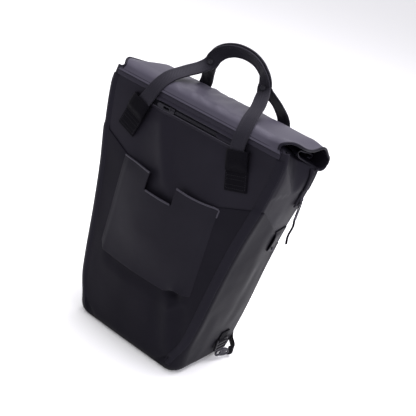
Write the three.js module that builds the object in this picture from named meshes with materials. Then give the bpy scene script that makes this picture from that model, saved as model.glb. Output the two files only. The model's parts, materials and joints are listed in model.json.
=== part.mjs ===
// A roll-top bicycle backpack in coated cloth, standing on its base.
// Millimetres, +Z up, +X to the wearer-away right, the outer front faces -Y.
// The bag stands on z = 0 and the middle of its footprint box is the origin.
import * as THREE from 'three';
import { mergeVertices } from 'three/addons/utils/BufferGeometryUtils.js';

// Driving dimensions of the body
const RIM_FRONT = 430; // height of the seam under the roll at the front
const RIM_BACK = 387; // height of the same seam at the back
const BASE_WIDTH = 222;
const TOP_WIDTH = 344;
const BASE_DEPTH = 152;
const TOP_DEPTH = 124;
const BELLY = 12; // how far the filled front swells past its flat plane
const SIDE_SWELL = 5;
const BACK_SWELL = 4;
const WALL = 2; // coated cloth with its backing
const CORNER_RADIUS = 9;
const BASE_RADIUS = 18;
const GUSSET_DEPTH = 40; // how far the side is folded in under the roll
const GUSSET_APEX = 355; // height where the gusset fold starts
const CLEARANCE = 0.3; // between pieces that are sewn or welded to each other
const WRAP_SEAT = 0.5; // between the body and the layer welded over it

// Cloth layers over the body
const WRAP_THICKNESS = 1.2;
const WRAP_EDGE_FRONT = 330; // top edge of the lower wrap at the front corner
const WRAP_EDGE_SLEEVE = 306; // the same edge where it meets the sleeve
const WRAP_EDGE_TAB = 277; // the same edge at the side tab
const WRAP_EDGE_BACK = 240;
const WRAP_EDGE_HIDDEN = 222; // behind the sleeve
const WRAP_EDGE_LAP = 22; // how far the wrap's visible edge runs in under the sleeve
const SLEEVE_HALF_WIDTH = 97;
const SLEEVE_BOTTOM = 137;
const SLEEVE_TOP = WRAP_EDGE_SLEEVE;
const SLEEVE_THICKNESS = 1.6;
const SLEEVE_FULLNESS = 10;
const SLEEVE_LIFT = 9; // the slack at the right of its lower edge
const NOTCH_CENTRE = -6;
const NOTCH_WIDTH = 56;
const NOTCH_DEPTH = 29;
const EDGE_BAND_WIDTH = 13;
const EDGE_BAND_THICKNESS = 1.4;
const MOUTH_BAND_HEIGHT = 12;
const MOUTH_BAND_THICKNESS = 1.2;

// Roll top
const ROLL_HALF_LENGTH = 178;
const ROLL_HEIGHT = 12; // top of the fold above the front seam
const ROLL_THICKNESS = 2;

// Front zip
const ZIP_HEIGHT = 407;
const ZIP_LEFT = -78;
const ZIP_RIGHT = 84;
const ZIP_TAPE_WIDTH = 13;
const ZIP_TAPE_THICKNESS = 0.9;
const ZIP_COIL_RADIUS = 1.5;
const WELT_WIDTH = 3.6;
const WELT_THICKNESS = 2.4;
const SLIDER_LENGTH = 11;
const SLIDER_WIDTH = 8;
const SLIDER_THICKNESS = 3.4;
const SLIDER_HOLE = 3;
const SLIDER_X = -38;
const PULL_LENGTH = 27;
const PULL_WIDTH = 7;
const PULL_THICKNESS = 1.6;
const END_TAB_LENGTH = 36;
const END_TAB_WIDTH = 8;

// Side zip on the right
const SIDE_ZIP_DEPTH = 38; // its place behind the middle of the bag
const SIDE_ZIP_LOW = 327;
const SIDE_ZIP_SLIDER = 338;
const SIDE_PULL_LENGTH = 34;
const SIDE_CORD_LENGTH = 46;
const SIDE_CORD_DIAMETER = 3;

// Webbing and handles
const WEBBING_WIDTH = 38;
const WEBBING_THICKNESS = 2.4;
const GRIP_WIDTH = 28;
const GRIP_THICKNESS = 3.2;
const PATCH_LOW_X = 112;
const PATCH_HIGH_X = 95;
const PATCH_LOW_Z = 343;
const PATCH_HIGH_Z = 402;
const SNAP_X = 53;
const SNAP_Y = 23;
const SNAP_Z = 475;
const SNAP_RADIUS = 5;
const SNAP_HEIGHT = 2.2;
const SNAP_SEAT_FRONT = 1.9; // the flat cap stands on the curved strap
const SNAP_SEAT_REAR = 3.1;
const GRIP_GAP = 1.6; // between the two straps of the grip, which twist together
const GRIP_RISE = 43; // arch of the grip above the snaps

// Shoulder straps and their lower fastening
const STRAP_WIDTH = 58;
const STRAP_THICKNESS = 11;
const STRAP_TOP_X = 46;
const STRAP_TOP_Z = 352;
const STRAP_REACH = 34; // how far the strap stands off the back
const STRAP_END_X = 94;
const STRAP_END_Z = 118;
const LACE_WIDTH = 24;
const LACE_THICKNESS = 1.8;
const LOCK_WIDTH = 32;
const LOCK_HEIGHT = 22;
const LOCK_THICKNESS = 4;
const LOCK_BAR = 3.2;
const HOOK_LENGTH = 32;
const HOOK_WIDTH = 17;
const HOOK_THICKNESS = 3;
const RING_HOLE = 3.4;
const ANCHOR_Z = 49; // lower end of the webbing that carries the lock
const ANCHOR_HEIGHT = 16;
const ANCHOR_Y = 28;
const LACE_TURN_Z = 34; // where the strap's webbing turns towards the edge

// Side tab
const TAB_SHARE = 0.25; // place of the tab's free edge, from the side's middle to its back corner
const TAB_SLANT = 14; // how much shorter the free edge is at its foot
const TAB_FRONT_Y = 20;
const TAB_BACK_Y = 58;
const TAB_TOP_Z = 276;
const TAB_LOW_Z = 224;
const TAB_THICKNESS = 1.8;
const TAB_FULLNESS = 3;
const RIVET_RADIUS = 3.2;
const RIVET_HEIGHT = 1.6;

// Facets round the body
const FRONT_STEPS = 10;
const BACK_STEPS = 6;
const SIDE_STEPS = 8;
const CORNER_STEPS = 2;

// Half sizes of the body by height: shares of the change from base to top width and depth,
// and shares of the belly and of the swell of side and back
const SECTIONS = [
  { height: 0.0, width: 0.0, depth: 0.0, belly: 0.0, swell: 0.0 },
  { height: 0.12, width: 0.13, depth: 0.12, belly: 0.35, swell: 0.4 },
  { height: 0.25, width: 0.27, depth: 0.25, belly: 0.65, swell: 0.8 },
  { height: 0.45, width: 0.44, depth: 0.45, belly: 1.0, swell: 1.0 },
  { height: 0.62, width: 0.62, depth: 0.62, belly: 1.0, swell: 0.9 },
  { height: 0.77, width: 0.84, depth: 0.77, belly: 0.7, swell: 0.5 },
  { height: 0.93, width: 1.0, depth: 0.93, belly: 0.1, swell: 0.0 },
  { height: 1.0, width: 0.95, depth: 1.0, belly: 0.0, swell: 0.0 },
];

// One table row between two others, by height share
function sectionAt(z) {
  const share = THREE.MathUtils.clamp(z / RIM_FRONT, 0, 1);
  const last = SECTIONS.length - 1;
  let k = 0;
  while (k < last - 1 && SECTIONS[k + 1].height < share) k += 1;
  const low = SECTIONS[k];
  const high = SECTIONS[k + 1];
  const mix = (share - low.height) / (high.height - low.height);
  const before = SECTIONS[Math.max(0, k - 1)];
  const after = SECTIONS[Math.min(last, k + 2)];
  const slope = (name, a, b) => (b[name] - a[name]) / (b.height - a.height);
  const blend = (name) => {
    const span = high.height - low.height;
    const start = slope(name, before, high) * span;
    const end = slope(name, low, after) * span;
    const rise = high[name] - low[name];
    return low[name] + mix * (start + mix * (3 * rise - 2 * start - end + mix * (start + end - 2 * rise)));
  };
  return {
    halfWidth: THREE.MathUtils.lerp(BASE_WIDTH, TOP_WIDTH, blend('width')) / 2,
    halfDepth: THREE.MathUtils.lerp(BASE_DEPTH, TOP_DEPTH, blend('depth')) / 2,
    belly: BELLY * blend('belly'),
    sideSwell: SIDE_SWELL * blend('swell'),
    backSwell: BACK_SWELL * blend('swell'),
  };
}

const dome = (share) => Math.max(0, 1 - share * share) ** 1.5;

function gussetInset(y, z) {
  const rise = (z - GUSSET_APEX) / (RIM_FRONT - GUSSET_APEX);
  return GUSSET_DEPTH * Math.max(0, rise - Math.abs(y) / (TOP_DEPTH / 2));
}

// Outer faces of the body
function frontY(x, z) {
  const s = sectionAt(z);
  return -s.halfDepth - s.belly * dome(x / (s.halfWidth - CORNER_RADIUS));
}

function backY(x, z) {
  const s = sectionAt(z);
  return s.halfDepth + s.backSwell * dome(x / (s.halfWidth - CORNER_RADIUS));
}

function sideX(y, z) {
  const s = sectionAt(z);
  return s.halfWidth + s.sideSwell * dome(y / (s.halfDepth - CORNER_RADIUS)) - gussetInset(y, z);
}

// Stations round the body: a place on the core rectangle and an outward direction
function ringStations() {
  const stations = [];
  const face = (from, to, steps, normal) => {
    for (let k = 0; k < steps; k += 1) {
      const t = k / steps;
      stations.push({
        sx: THREE.MathUtils.lerp(from[0], to[0], t),
        sy: THREE.MathUtils.lerp(from[1], to[1], t),
        angle: normal,
      });
    }
  };
  const corner = (sx, sy, start) => {
    for (let k = 0; k < CORNER_STEPS; k += 1) {
      stations.push({ sx, sy, angle: start + (k / CORNER_STEPS) * (Math.PI / 2) });
    }
  };
  face([-1, -1], [1, -1], FRONT_STEPS, -Math.PI / 2);
  corner(1, -1, -Math.PI / 2);
  face([1, -1], [1, 1], SIDE_STEPS, 0);
  corner(1, 1, 0);
  face([1, 1], [-1, 1], BACK_STEPS, Math.PI / 2);
  corner(-1, 1, Math.PI / 2);
  face([-1, 1], [-1, -1], SIDE_STEPS, Math.PI);
  corner(-1, -1, Math.PI);
  return stations;
}

const STATIONS = ringStations();

// A point of the body's surface at one station and height, moved inwards by inset
function bodyPoint(station, z, inset, baseInset = 0) {
  const s = sectionAt(z);
  const radius = CORNER_RADIUS - inset;
  const nx = Math.cos(station.angle);
  const ny = Math.sin(station.angle);
  const coreX = station.sx * (s.halfWidth - CORNER_RADIUS);
  const coreY = station.sy * (s.halfDepth - CORNER_RADIUS);
  let x = coreX + (radius - baseInset) * nx;
  let y = coreY + (radius - baseInset) * ny;
  if (station.sy === -1 && Math.abs(station.sx) < 1) y -= s.belly * dome(station.sx);
  if (station.sy === 1 && Math.abs(station.sx) < 1) y += s.backSwell * dome(station.sx);
  if (Math.abs(station.sx) === 1 && Math.abs(station.sy) < 1) {
    x += station.sx * (s.sideSwell * dome(station.sy) - gussetInset(y, z));
  }
  return new THREE.Vector3(x, y, z);
}

// Turns a closed geometry's faces round if they enclose a negative volume
function facingOut(geometry) {
  const index = geometry.getIndex().array;
  const corner = (k) => new THREE.Vector3().fromBufferAttribute(geometry.getAttribute('position'), index[k]);
  let volume = 0;
  for (let k = 0; k < index.length; k += 3) {
    volume += corner(k).dot(corner(k + 1).cross(corner(k + 2)));
  }
  if (volume < 0) {
    for (let k = 0; k < index.length; k += 3) [index[k], index[k + 1]] = [index[k + 1], index[k]];
  }
  geometry.computeVertexNormals();
  return geometry;
}

// Gathers triangles, leaves out collapsed ones and gives a closed geometry
class Skin {
  constructor() {
    this.points = [];
  }

  triangle(a, b, c) {
    const same = (p, q) => p.distanceToSquared(q) < 1e-8;
    if (same(a, b) || same(b, c) || same(c, a)) return;
    this.points.push(a, b, c);
  }

  quad(a, b, c, d) {
    this.triangle(a, b, c);
    this.triangle(a, c, d);
  }

  geometry() {
    const raw = new THREE.BufferGeometry().setFromPoints(this.points);
    return facingOut(mergeVertices(raw, 1e-4));
  }
}

// A cloth sheet with thickness: outer(i, j) and inner(i, j) are its two faces, cells that
// keep(i, j) refuses are left out, and every free edge gets a wall
function clothSheet(columns, rows, outer, inner, options = {}) {
  const { closed = false, keep = () => true, pole = false } = options;
  const skin = new Skin();
  const cellColumns = closed ? columns : columns - 1;
  const wrap = (i) => (closed ? (i + columns) % columns : i);
  const kept = (i, j) => {
    if (!closed && (i < 0 || i >= cellColumns)) return false;
    if (j < 0) return pole;
    if (j >= rows - 1) return false;
    return keep(wrap(i), j);
  };
  for (let i = 0; i < cellColumns; i += 1) {
    for (let j = 0; j < rows - 1; j += 1) {
      if (!kept(i, j)) continue;
      const n = wrap(i + 1);
      skin.quad(outer(i, j), outer(n, j), outer(n, j + 1), outer(i, j + 1));
      skin.quad(inner(i, j), inner(i, j + 1), inner(n, j + 1), inner(n, j));
      if (!kept(i, j - 1)) skin.quad(outer(i, j), inner(i, j), inner(n, j), outer(n, j));
      if (!kept(i, j + 1)) {
        skin.quad(outer(n, j + 1), inner(n, j + 1), inner(i, j + 1), outer(i, j + 1));
      }
      if (!kept(i - 1, j)) skin.quad(outer(i, j + 1), inner(i, j + 1), inner(i, j), outer(i, j));
      if (!kept(i + 1, j)) skin.quad(outer(n, j), inner(n, j), inner(n, j + 1), outer(n, j + 1));
    }
  }
  return skin.geometry();
}

// A closed solid through rings of points with flat ends
function loft(rings) {
  const skin = new Skin();
  const count = rings[0].length;
  for (let k = 0; k < rings.length - 1; k += 1) {
    for (let i = 0; i < count; i += 1) {
      const n = (i + 1) % count;
      skin.quad(rings[k][i], rings[k][n], rings[k + 1][n], rings[k + 1][i]);
    }
  }
  const cap = (ring, flip) => {
    for (let i = 1; i < count - 1; i += 1) {
      if (flip) skin.triangle(ring[0], ring[i + 1], ring[i]);
      else skin.triangle(ring[0], ring[i], ring[i + 1]);
    }
  };
  cap(rings[0], true);
  cap(rings[rings.length - 1], false);
  return skin.geometry();
}

// A strap through table rows { x, y, z, face, width, thick }: face is the way its outer side looks
function strapFrames(rows, steps) {
  const spline = (pick) => {
    const flat = rows.map((row) => new THREE.Vector3(...pick(row)));
    return new THREE.CatmullRomCurve3(flat, false, 'centripetal');
  };
  const path = spline((row) => [row.x, row.y, row.z]);
  const faces = rows.map((row) => new THREE.Vector3(...row.face));
  const frames = [];
  for (let k = 0; k <= steps; k += 1) {
    const t = k / steps;
    const place = path.getPoint(t);
    const along = path.getTangent(t);
    const at = t * (rows.length - 1);
    const low = Math.min(Math.floor(at), rows.length - 2);
    const mix = at - low;
    const face = faces[low].clone().lerp(faces[low + 1], mix);
    face.addScaledVector(along, -face.dot(along)).normalize();
    const across = new THREE.Vector3().crossVectors(along, face);
    const halfWidth = THREE.MathUtils.lerp(rows[low].width, rows[low + 1].width, mix) / 2;
    const halfThick = THREE.MathUtils.lerp(rows[low].thick, rows[low + 1].thick, mix) / 2;
    frames.push({ place, along, face, across, halfWidth, halfThick });
  }
  return frames;
}

function strap(rows, steps) {
  const rings = strapFrames(rows, steps).map((frame) => {
    const { place, face, across, halfWidth, halfThick } = frame;
    const flat = halfWidth - halfThick * 0.7;
    const outline = [
      [halfWidth, 0], [flat, halfThick], [-flat, halfThick],
      [-halfWidth, 0], [-flat, -halfThick], [flat, -halfThick],
    ];
    return outline.map(([w, h]) => place.clone()
      .addScaledVector(across, w).addScaledVector(face, h));
  });
  return loft(rings);
}

// The same strap on the other side of the bag
function mirrored(geometry) {
  return facingOut(geometry.clone().applyMatrix4(new THREE.Matrix4().makeScale(-1, 1, 1)));
}

const finish = (color, roughness, metalness = 0) => (
  () => new THREE.MeshStandardMaterial({ color, roughness, metalness }));
const coatedCloth = finish(0x2b2b31, 0.5);
const bandCloth = finish(0x232328, 0.55);
const webbing = finish(0x161618, 0.85);
const handleCloth = finish(0x303034, 0.75);
const zipCloth = finish(0x121214, 0.8);
const zipCoil = finish(0x1c1c20, 0.45);
const blackPlastic = finish(0x151517, 0.5);
const greyPlastic = finish(0x3a3a40, 0.5);
const darkMetal = finish(0x2a2a2c, 0.4, 0.8);

const bag = new THREE.Group();

function add(name, geometry, material, holder = bag) {
  const mesh = new THREE.Mesh(geometry, material());
  mesh.name = name;
  holder.add(mesh);
  return mesh;
}

// Rows of the body, from the middle of the base up to the rim
const BODY_ROWS = [0.1, 0.18, 0.27, 0.37, 0.48, 0.58, 0.68, 0.77, 0.84, 0.9, 0.95, 1];
const TILT_START = 0.58; // share of the height above which rows slope down to the back
const FILLET_STEPS = 3;
const FIRST_SIDE_ROW = 3 + FILLET_STEPS;
const ROW_COUNT = FIRST_SIDE_ROW + BODY_ROWS.length;

// Height of the rim by a share from the front corner, -1, to the back corner, 1
const rimHeight = (sy) => THREE.MathUtils.mapLinear(
  THREE.MathUtils.clamp(sy, -1, 1), -1, 1, RIM_FRONT, RIM_BACK);

function rowHeight(share, sy) {
  if (share <= TILT_START) return share * RIM_FRONT;
  const mix = (share - TILT_START) / (1 - TILT_START);
  return THREE.MathUtils.lerp(TILT_START * RIM_FRONT, rimHeight(sy), mix);
}

// Place of row j at one station, with an upper limit that a layer's top edge sets
function rowPoint(j, station, inset, limit = Infinity) {
  if (j === 0) return new THREE.Vector3(0, 0, inset);
  if (j === 1) {
    const p = bodyPoint(station, 0, inset, BASE_RADIUS - inset);
    return new THREE.Vector3(p.x / 2, p.y / 2, inset);
  }
  if (j < FIRST_SIDE_ROW) {
    const angle = ((j - 2) / FILLET_STEPS) * (Math.PI / 2);
    const radius = BASE_RADIUS - inset;
    const roll = radius * (1 - Math.sin(angle));
    return bodyPoint(station, BASE_RADIUS - radius * Math.cos(angle), inset, roll);
  }
  const z = rowHeight(BODY_ROWS[j - FIRST_SIDE_ROW], station.sy);
  return bodyPoint(station, Math.min(z, limit), inset);
}

// Body shell: closed base, side walls and an open mouth
function bodyShell() {
  const outer = (i, j) => rowPoint(j, STATIONS[i], 0);
  const inner = (i, j) => rowPoint(j, STATIONS[i], WALL);
  return clothSheet(STATIONS.length, ROW_COUNT, outer, inner, { closed: true, pole: true });
}

// Top edge of the lower wrap by station: level with the sleeve, up to the front corner,
// down the side to the tab and on to the back
function wrapEdge(station) {
  if (station.sy === 1) return WRAP_EDGE_BACK;
  if (Math.abs(station.sx) === 1 && station.sy > -1) {
    if (station.sy < TAB_SHARE) {
      return THREE.MathUtils.mapLinear(station.sy, -1, TAB_SHARE, WRAP_EDGE_FRONT, WRAP_EDGE_TAB);
    }
    return THREE.MathUtils.mapLinear(station.sy, TAB_SHARE, 1, WRAP_EDGE_TAB, WRAP_EDGE_BACK);
  }
  const reach = sectionAt(WRAP_EDGE_FRONT).halfWidth - CORNER_RADIUS;
  const x = Math.abs(station.sx) * reach;
  const seam = SLEEVE_HALF_WIDTH - WRAP_EDGE_LAP;
  if (x < seam) return WRAP_EDGE_HIDDEN;
  return THREE.MathUtils.mapLinear(x, seam, reach, WRAP_EDGE_SLEEVE, WRAP_EDGE_FRONT);
}

// Lower wrap: a second layer round the lower half, from the base's rounding up
function lowerWrap() {
  const lowest = 3;
  const face = (i, j, off) => rowPoint(j + lowest, STATIONS[i], -off, wrapEdge(STATIONS[i]));
  const outer = (i, j) => face(i, j, WRAP_SEAT + WRAP_THICKNESS);
  const inner = (i, j) => face(i, j, WRAP_SEAT);
  return clothSheet(STATIONS.length, ROW_COUNT - lowest, outer, inner, { closed: true });
}

// Sleeve pocket over the front: open along its top, with a notch, and slack at its lower right
function sleeve() {
  const notchLeft = NOTCH_CENTRE - NOTCH_WIDTH / 2;
  const notchRight = NOTCH_CENTRE + NOTCH_WIDTH / 2;
  const spread = (from, to, steps) => Array.from(
    { length: steps }, (_, k) => THREE.MathUtils.lerp(from, to, k / steps));
  const columns = [
    ...spread(-SLEEVE_HALF_WIDTH, notchLeft, 4), ...spread(notchLeft, notchRight, 4),
    ...spread(notchRight, SLEEVE_HALF_WIDTH, 5), SLEEVE_HALF_WIDTH,
  ];
  const floor = SLEEVE_TOP - NOTCH_DEPTH;
  const heights = [...spread(SLEEVE_BOTTOM, floor, 7), ...spread(floor, SLEEVE_TOP, 3), SLEEVE_TOP];
  const notchRow = 7;
  const keep = (i, j) => j < notchRow || columns[i] < notchLeft - 0.1 || columns[i] >= notchRight - 0.1;
  const slack = (x) => THREE.MathUtils.smoothstep(x, SLEEVE_HALF_WIDTH * 0.4, SLEEVE_HALF_WIDTH * 0.75)
    * (1 - THREE.MathUtils.smoothstep(x, SLEEVE_HALF_WIDTH * 0.9, SLEEVE_HALF_WIDTH));
  const face = (i, j, off) => {
    const x = columns[i];
    const t = (heights[j] - SLEEVE_BOTTOM) / (SLEEVE_TOP - SLEEVE_BOTTOM);
    const low = slack(x) * (1 - t) ** 6;
    const z = heights[j] + SLEEVE_LIFT * low;
    const fullness = SLEEVE_FULLNESS * dome(x / SLEEVE_HALF_WIDTH) * THREE.MathUtils.smoothstep(t, 0, 0.45);
    const seat = WRAP_SEAT + WRAP_THICKNESS + CLEARANCE;
    return new THREE.Vector3(x, frontY(x, z) - seat - fullness - off - SLEEVE_LIFT * 0.5 * low, z);
  };
  const outer = (i, j) => face(i, j, SLEEVE_THICKNESS);
  const inner = (i, j) => face(i, j, 0);
  return clothSheet(columns.length, heights.length, outer, inner, { keep });
}

// A flat strip welded along the front edge of the body, turned halfway round the corner
function edgeBand() {
  const rows = 13;
  const flat = EDGE_BAND_WIDTH - CORNER_RADIUS * (Math.PI / 4);
  const seat = WRAP_SEAT + WRAP_THICKNESS + 2 * CLEARANCE;
  const top = RIM_FRONT - MOUTH_BAND_HEIGHT - 1;
  const turns = [-Math.PI / 4, -Math.PI * 0.33, -Math.PI * 0.41, -Math.PI / 2];
  const face = (i, j, off) => {
    const z = THREE.MathUtils.lerp(BASE_RADIUS, top, j / (rows - 1));
    const core = sectionAt(z).halfWidth - CORNER_RADIUS;
    const station = i === 0
      ? { sx: 1 - flat / core, sy: -1, angle: -Math.PI / 2 }
      : { sx: 1, sy: -1, angle: turns[turns.length - i] };
    return bodyPoint(station, z, -seat - off);
  };
  const outer = (i, j) => face(i, j, EDGE_BAND_THICKNESS);
  const inner = (i, j) => face(i, j, 0);
  return clothSheet(turns.length + 1, rows, outer, inner);
}

// A strip over the seam between body and roll, between the two stitch lines
function mouthBand() {
  const columns = 13;
  const reach = sectionAt(RIM_FRONT).halfWidth - CORNER_RADIUS;
  const face = (i, j, off) => {
    const x = THREE.MathUtils.lerp(-reach, reach, i / (columns - 1));
    const z = RIM_FRONT - (1 - j) * MOUTH_BAND_HEIGHT;
    return new THREE.Vector3(x, frontY(x, z) - CLEARANCE - off, z);
  };
  const outer = (i, j) => face(i, j, MOUTH_BAND_THICKNESS);
  const inner = (i, j) => face(i, j, 0);
  return clothSheet(columns, 2, outer, inner);
}

// Roll top: the front cloth goes over the mouth, folds down at the back and turns in on itself;
// the back cloth comes forward under it and joins it behind the front seam.
// depth is a share of the top's half depth, height a share of ROLL_HEIGHT above the rim line,
// and reach a share of ROLL_HALF_LENGTH
const ROLL_FOLD = [
  { depth: -0.985, height: 0.14, reach: 0.85 },
  { depth: -0.94, height: 0.5, reach: 0.87 },
  { depth: -0.78, height: 1.12, reach: 0.93 },
  { depth: -0.5, height: 1.75, reach: 0.99 },
  { depth: -0.15, height: 2.42, reach: 1.0 },
  { depth: 0.2, height: 2.95, reach: 1.0 },
  { depth: 0.52, height: 3.3, reach: 1.0 },
  { depth: 0.8, height: 3.25, reach: 1.0 },
  { depth: 0.98, height: 2.75, reach: 1.0 },
  { depth: 1.04, height: 1.95, reach: 1.0 },
  { depth: 0.99, height: 1.15, reach: 0.995 },
  { depth: 0.84, height: 0.78, reach: 0.99 },
  { depth: 0.55, height: 0.7, reach: 0.985 },
  { depth: 0.2, height: 0.68, reach: 0.985 },
  { depth: -0.08, height: 0.8, reach: 0.98 },
  { depth: -0.2, height: 1.2, reach: 0.98 },
  { depth: -0.1, height: 1.65, reach: 0.975 },
  { depth: 0.2, height: 1.9, reach: 0.97 },
  { depth: 0.55, height: 2.15, reach: 0.97 },
  { depth: 0.74, height: 2.0, reach: 0.965 },
  { depth: 0.72, height: 1.55, reach: 0.96 },
  { depth: 0.5, height: 1.35, reach: 0.96 },
];
const ROLL_LID = [
  { depth: -0.86, height: 0.15, reach: 0.86 },
  { depth: -0.4, height: 0.12, reach: 0.86 },
  { depth: 0.2, height: 0.12, reach: 0.86 },
  { depth: 0.99, height: 0.12, reach: 0.86 },
];

function rollTop() {
  const halfDepth = TOP_DEPTH / 2;
  const rim = (y) => rimHeight(y / (halfDepth - CORNER_RADIUS));
  const place = (row) => {
    const y = row.depth * halfDepth;
    return { y, z: rim(y) + row.height * ROLL_HEIGHT, reach: row.reach * ROLL_HALF_LENGTH };
  };
  const offsetLine = (line, off) => line.map((point, k) => {
    const before = line[Math.max(0, k - 1)];
    const after = line[Math.min(line.length - 1, k + 1)];
    const length = Math.hypot(after.y - before.y, after.z - before.z);
    const ny = -(after.z - before.z) / length;
    const nz = (after.y - before.y) / length;
    return { y: point.y + off * ny, z: point.z + off * nz, reach: point.reach };
  });
  const fold = ROLL_FOLD.map(place);
  const lid = ROLL_LID.map(place);
  const half = ROLL_THICKNESS / 2;
  const foldOut = offsetLine(fold, half);
  const foldIn = offsetLine(fold, -half);
  const lidUp = offsetLine(lid, half);
  const lidDown = offsetLine(lid, -half);
  // once round the section: out over the fold, back inside it, along the lid and home
  const section = [
    ...foldOut, ...foldIn.slice(2).reverse(), ...lidUp, ...lidDown.reverse(), foldIn[0],
  ];
  const flat = section.map((p) => new THREE.Vector2(p.y, p.z));
  const faces = THREE.ShapeUtils.triangulateShape(flat, []);
  const slices = 8;
  const ringAt = (k) => section.map((p) => (
    new THREE.Vector3(THREE.MathUtils.lerp(-p.reach, p.reach, k / slices), p.y, p.z)));
  const skin = new Skin();
  const turn = THREE.ShapeUtils.isClockWise(flat);
  const put = (a, b, c) => (turn ? skin.triangle(a, c, b) : skin.triangle(a, b, c));
  for (let k = 0; k < slices; k += 1) {
    const low = ringAt(k);
    const high = ringAt(k + 1);
    for (let i = 0; i < section.length; i += 1) {
      const n = (i + 1) % section.length;
      put(low[i], low[n], high[n]);
      put(low[i], high[n], high[i]);
    }
  }
  const first = ringAt(0);
  const last = ringAt(slices);
  const endTurn = faces.length > 0 && THREE.ShapeUtils.isClockWise(faces[0].map((i) => flat[i]));
  for (const [a, b, c] of faces) {
    if (endTurn) {
      skin.triangle(first[a], first[b], first[c]);
      skin.triangle(last[a], last[c], last[b]);
    } else {
      skin.triangle(first[a], first[c], first[b]);
      skin.triangle(last[a], last[b], last[c]);
    }
  }
  return skin.geometry();
}

// Places on the faces of the bag, off millimetres out from the cloth
const onFront = (x, z, off) => new THREE.Vector3(x, frontY(x, z) - off, z);
const onBack = (x, z, off) => new THREE.Vector3(x, backY(x, z) + off, z);
const onSide = (y, z, off) => new THREE.Vector3(sideX(y, z) + off, y, z);

// A thin strip laid on a face: point(u, v, off) gives its place for shares u and v from 0 to 1
function strip(columns, rows, thickness, seat, point) {
  const face = (i, j, off) => point(i / (columns - 1), j / (rows - 1), off);
  const outer = (i, j) => face(i, j, seat + thickness);
  const inner = (i, j) => face(i, j, seat);
  return clothSheet(columns, rows, outer, inner);
}

// Front zip: tape, coil, the welt above it, and the cloth tab over its end
const ZIP_SEAT = 0.5;
const COIL_STEPS = 8;
const COIL_SIDES = 6;

function zipTape() {
  return strip(15, 2, ZIP_TAPE_THICKNESS, ZIP_SEAT, (u, v, off) => onFront(
    THREE.MathUtils.lerp(ZIP_LEFT, ZIP_RIGHT, u), ZIP_HEIGHT + (v - 0.5) * ZIP_TAPE_WIDTH, off));
}

function coil(from, to, place) {
  const rings = [];
  for (let k = 0; k <= COIL_STEPS; k += 1) {
    const along = THREE.MathUtils.lerp(from, to, k / COIL_STEPS);
    const ring = [];
    for (let i = 0; i < COIL_SIDES; i += 1) {
      const angle = (i / COIL_SIDES) * Math.PI * 2;
      ring.push(place(along, ZIP_COIL_RADIUS * Math.cos(angle), ZIP_COIL_RADIUS * Math.sin(angle)));
    }
    rings.push(ring);
  }
  return loft(rings);
}

const COIL_SEAT = ZIP_SEAT + ZIP_TAPE_THICKNESS + CLEARANCE + ZIP_COIL_RADIUS;

function frontCoil() {
  const from = SLIDER_X + SLIDER_LENGTH / 2 + CLEARANCE;
  return coil(from, ZIP_RIGHT - END_TAB_LENGTH - CLEARANCE, (x, rise, out) => (
    onFront(x, ZIP_HEIGHT + rise, COIL_SEAT + out)));
}

function zipWelt() {
  const low = ZIP_HEIGHT + ZIP_TAPE_WIDTH / 2 + CLEARANCE;
  return strip(15, 2, WELT_THICKNESS, ZIP_SEAT, (u, v, off) => onFront(
    THREE.MathUtils.lerp(ZIP_LEFT, ZIP_RIGHT, u), low + v * WELT_WIDTH, off));
}

function zipEndTab() {
  const seat = ZIP_SEAT + ZIP_TAPE_THICKNESS + CLEARANCE;
  return strip(5, 2, WRAP_THICKNESS, seat, (u, v, off) => onFront(
    ZIP_RIGHT - (1 - u) * END_TAB_LENGTH, ZIP_HEIGHT + (v - 0.5) * END_TAB_WIDTH, off));
}

// A flat outline with rounded corners, as a shape or as a hole
function roundedOutline(Kind, length, width, radius, middle = 0) {
  const outline = new Kind();
  const left = middle - length / 2 + radius;
  const right = middle + length / 2 - radius;
  const y = width / 2;
  outline.moveTo(left, -y);
  outline.lineTo(right, -y);
  outline.absarc(right, -y + radius, radius, -Math.PI / 2, 0);
  outline.absarc(right, y - radius, radius, 0, Math.PI / 2);
  outline.absarc(left, y - radius, radius, Math.PI / 2, Math.PI);
  outline.absarc(left, -y + radius, radius, Math.PI, Math.PI * 1.5);
  return outline;
}

function plate(shape, thickness) {
  const solid = new THREE.ExtrudeGeometry(shape, {
    depth: thickness, bevelEnabled: false, curveSegments: 2,
  });
  solid.translate(0, 0, -thickness / 2);
  return solid;
}

// Slider with a hole for the pull; its length lies along X and its face looks along +Z
function sliderBody() {
  const shape = roundedOutline(THREE.Shape, SLIDER_LENGTH, SLIDER_WIDTH, SLIDER_WIDTH * 0.3);
  const hole = new THREE.Path();
  hole.absarc(0, 0, SLIDER_HOLE / 2, 0, Math.PI * 2, true);
  shape.holes.push(hole);
  return plate(shape, SLIDER_THICKNESS);
}

function pullTab(length, width, thickness) {
  const shape = roundedOutline(THREE.Shape, length, width, width * 0.35);
  shape.holes.push(roundedOutline(THREE.Path, length * 0.55, width * 0.4, width * 0.15));
  return plate(shape, thickness);
}

// Turns a piece so that its length runs along `along` and its face looks along `face`
function place(mesh, point, along, face) {
  const x = along.clone().normalize();
  const z = face.clone().addScaledVector(x, -face.dot(x)).normalize();
  const y = new THREE.Vector3().crossVectors(z, x);
  mesh.quaternion.setFromRotationMatrix(new THREE.Matrix4().makeBasis(x, y, z));
  mesh.position.copy(point);
  return mesh;
}

// Handles: webbing patches sewn to front and back, two legs and an arched grip each
const PATCH_BACK_DROP = 22; // the back patches sit lower, below the hanging roll
const HANDLE_BOW = 14; // how far the rear legs stand out over the roll
const PATCH_SEAT = 0.8;
const LEG_SEAT = 1.8; // a leg stands a little off its patch
const LEG_LAP = 10; // how far a leg runs down over its patch

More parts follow.
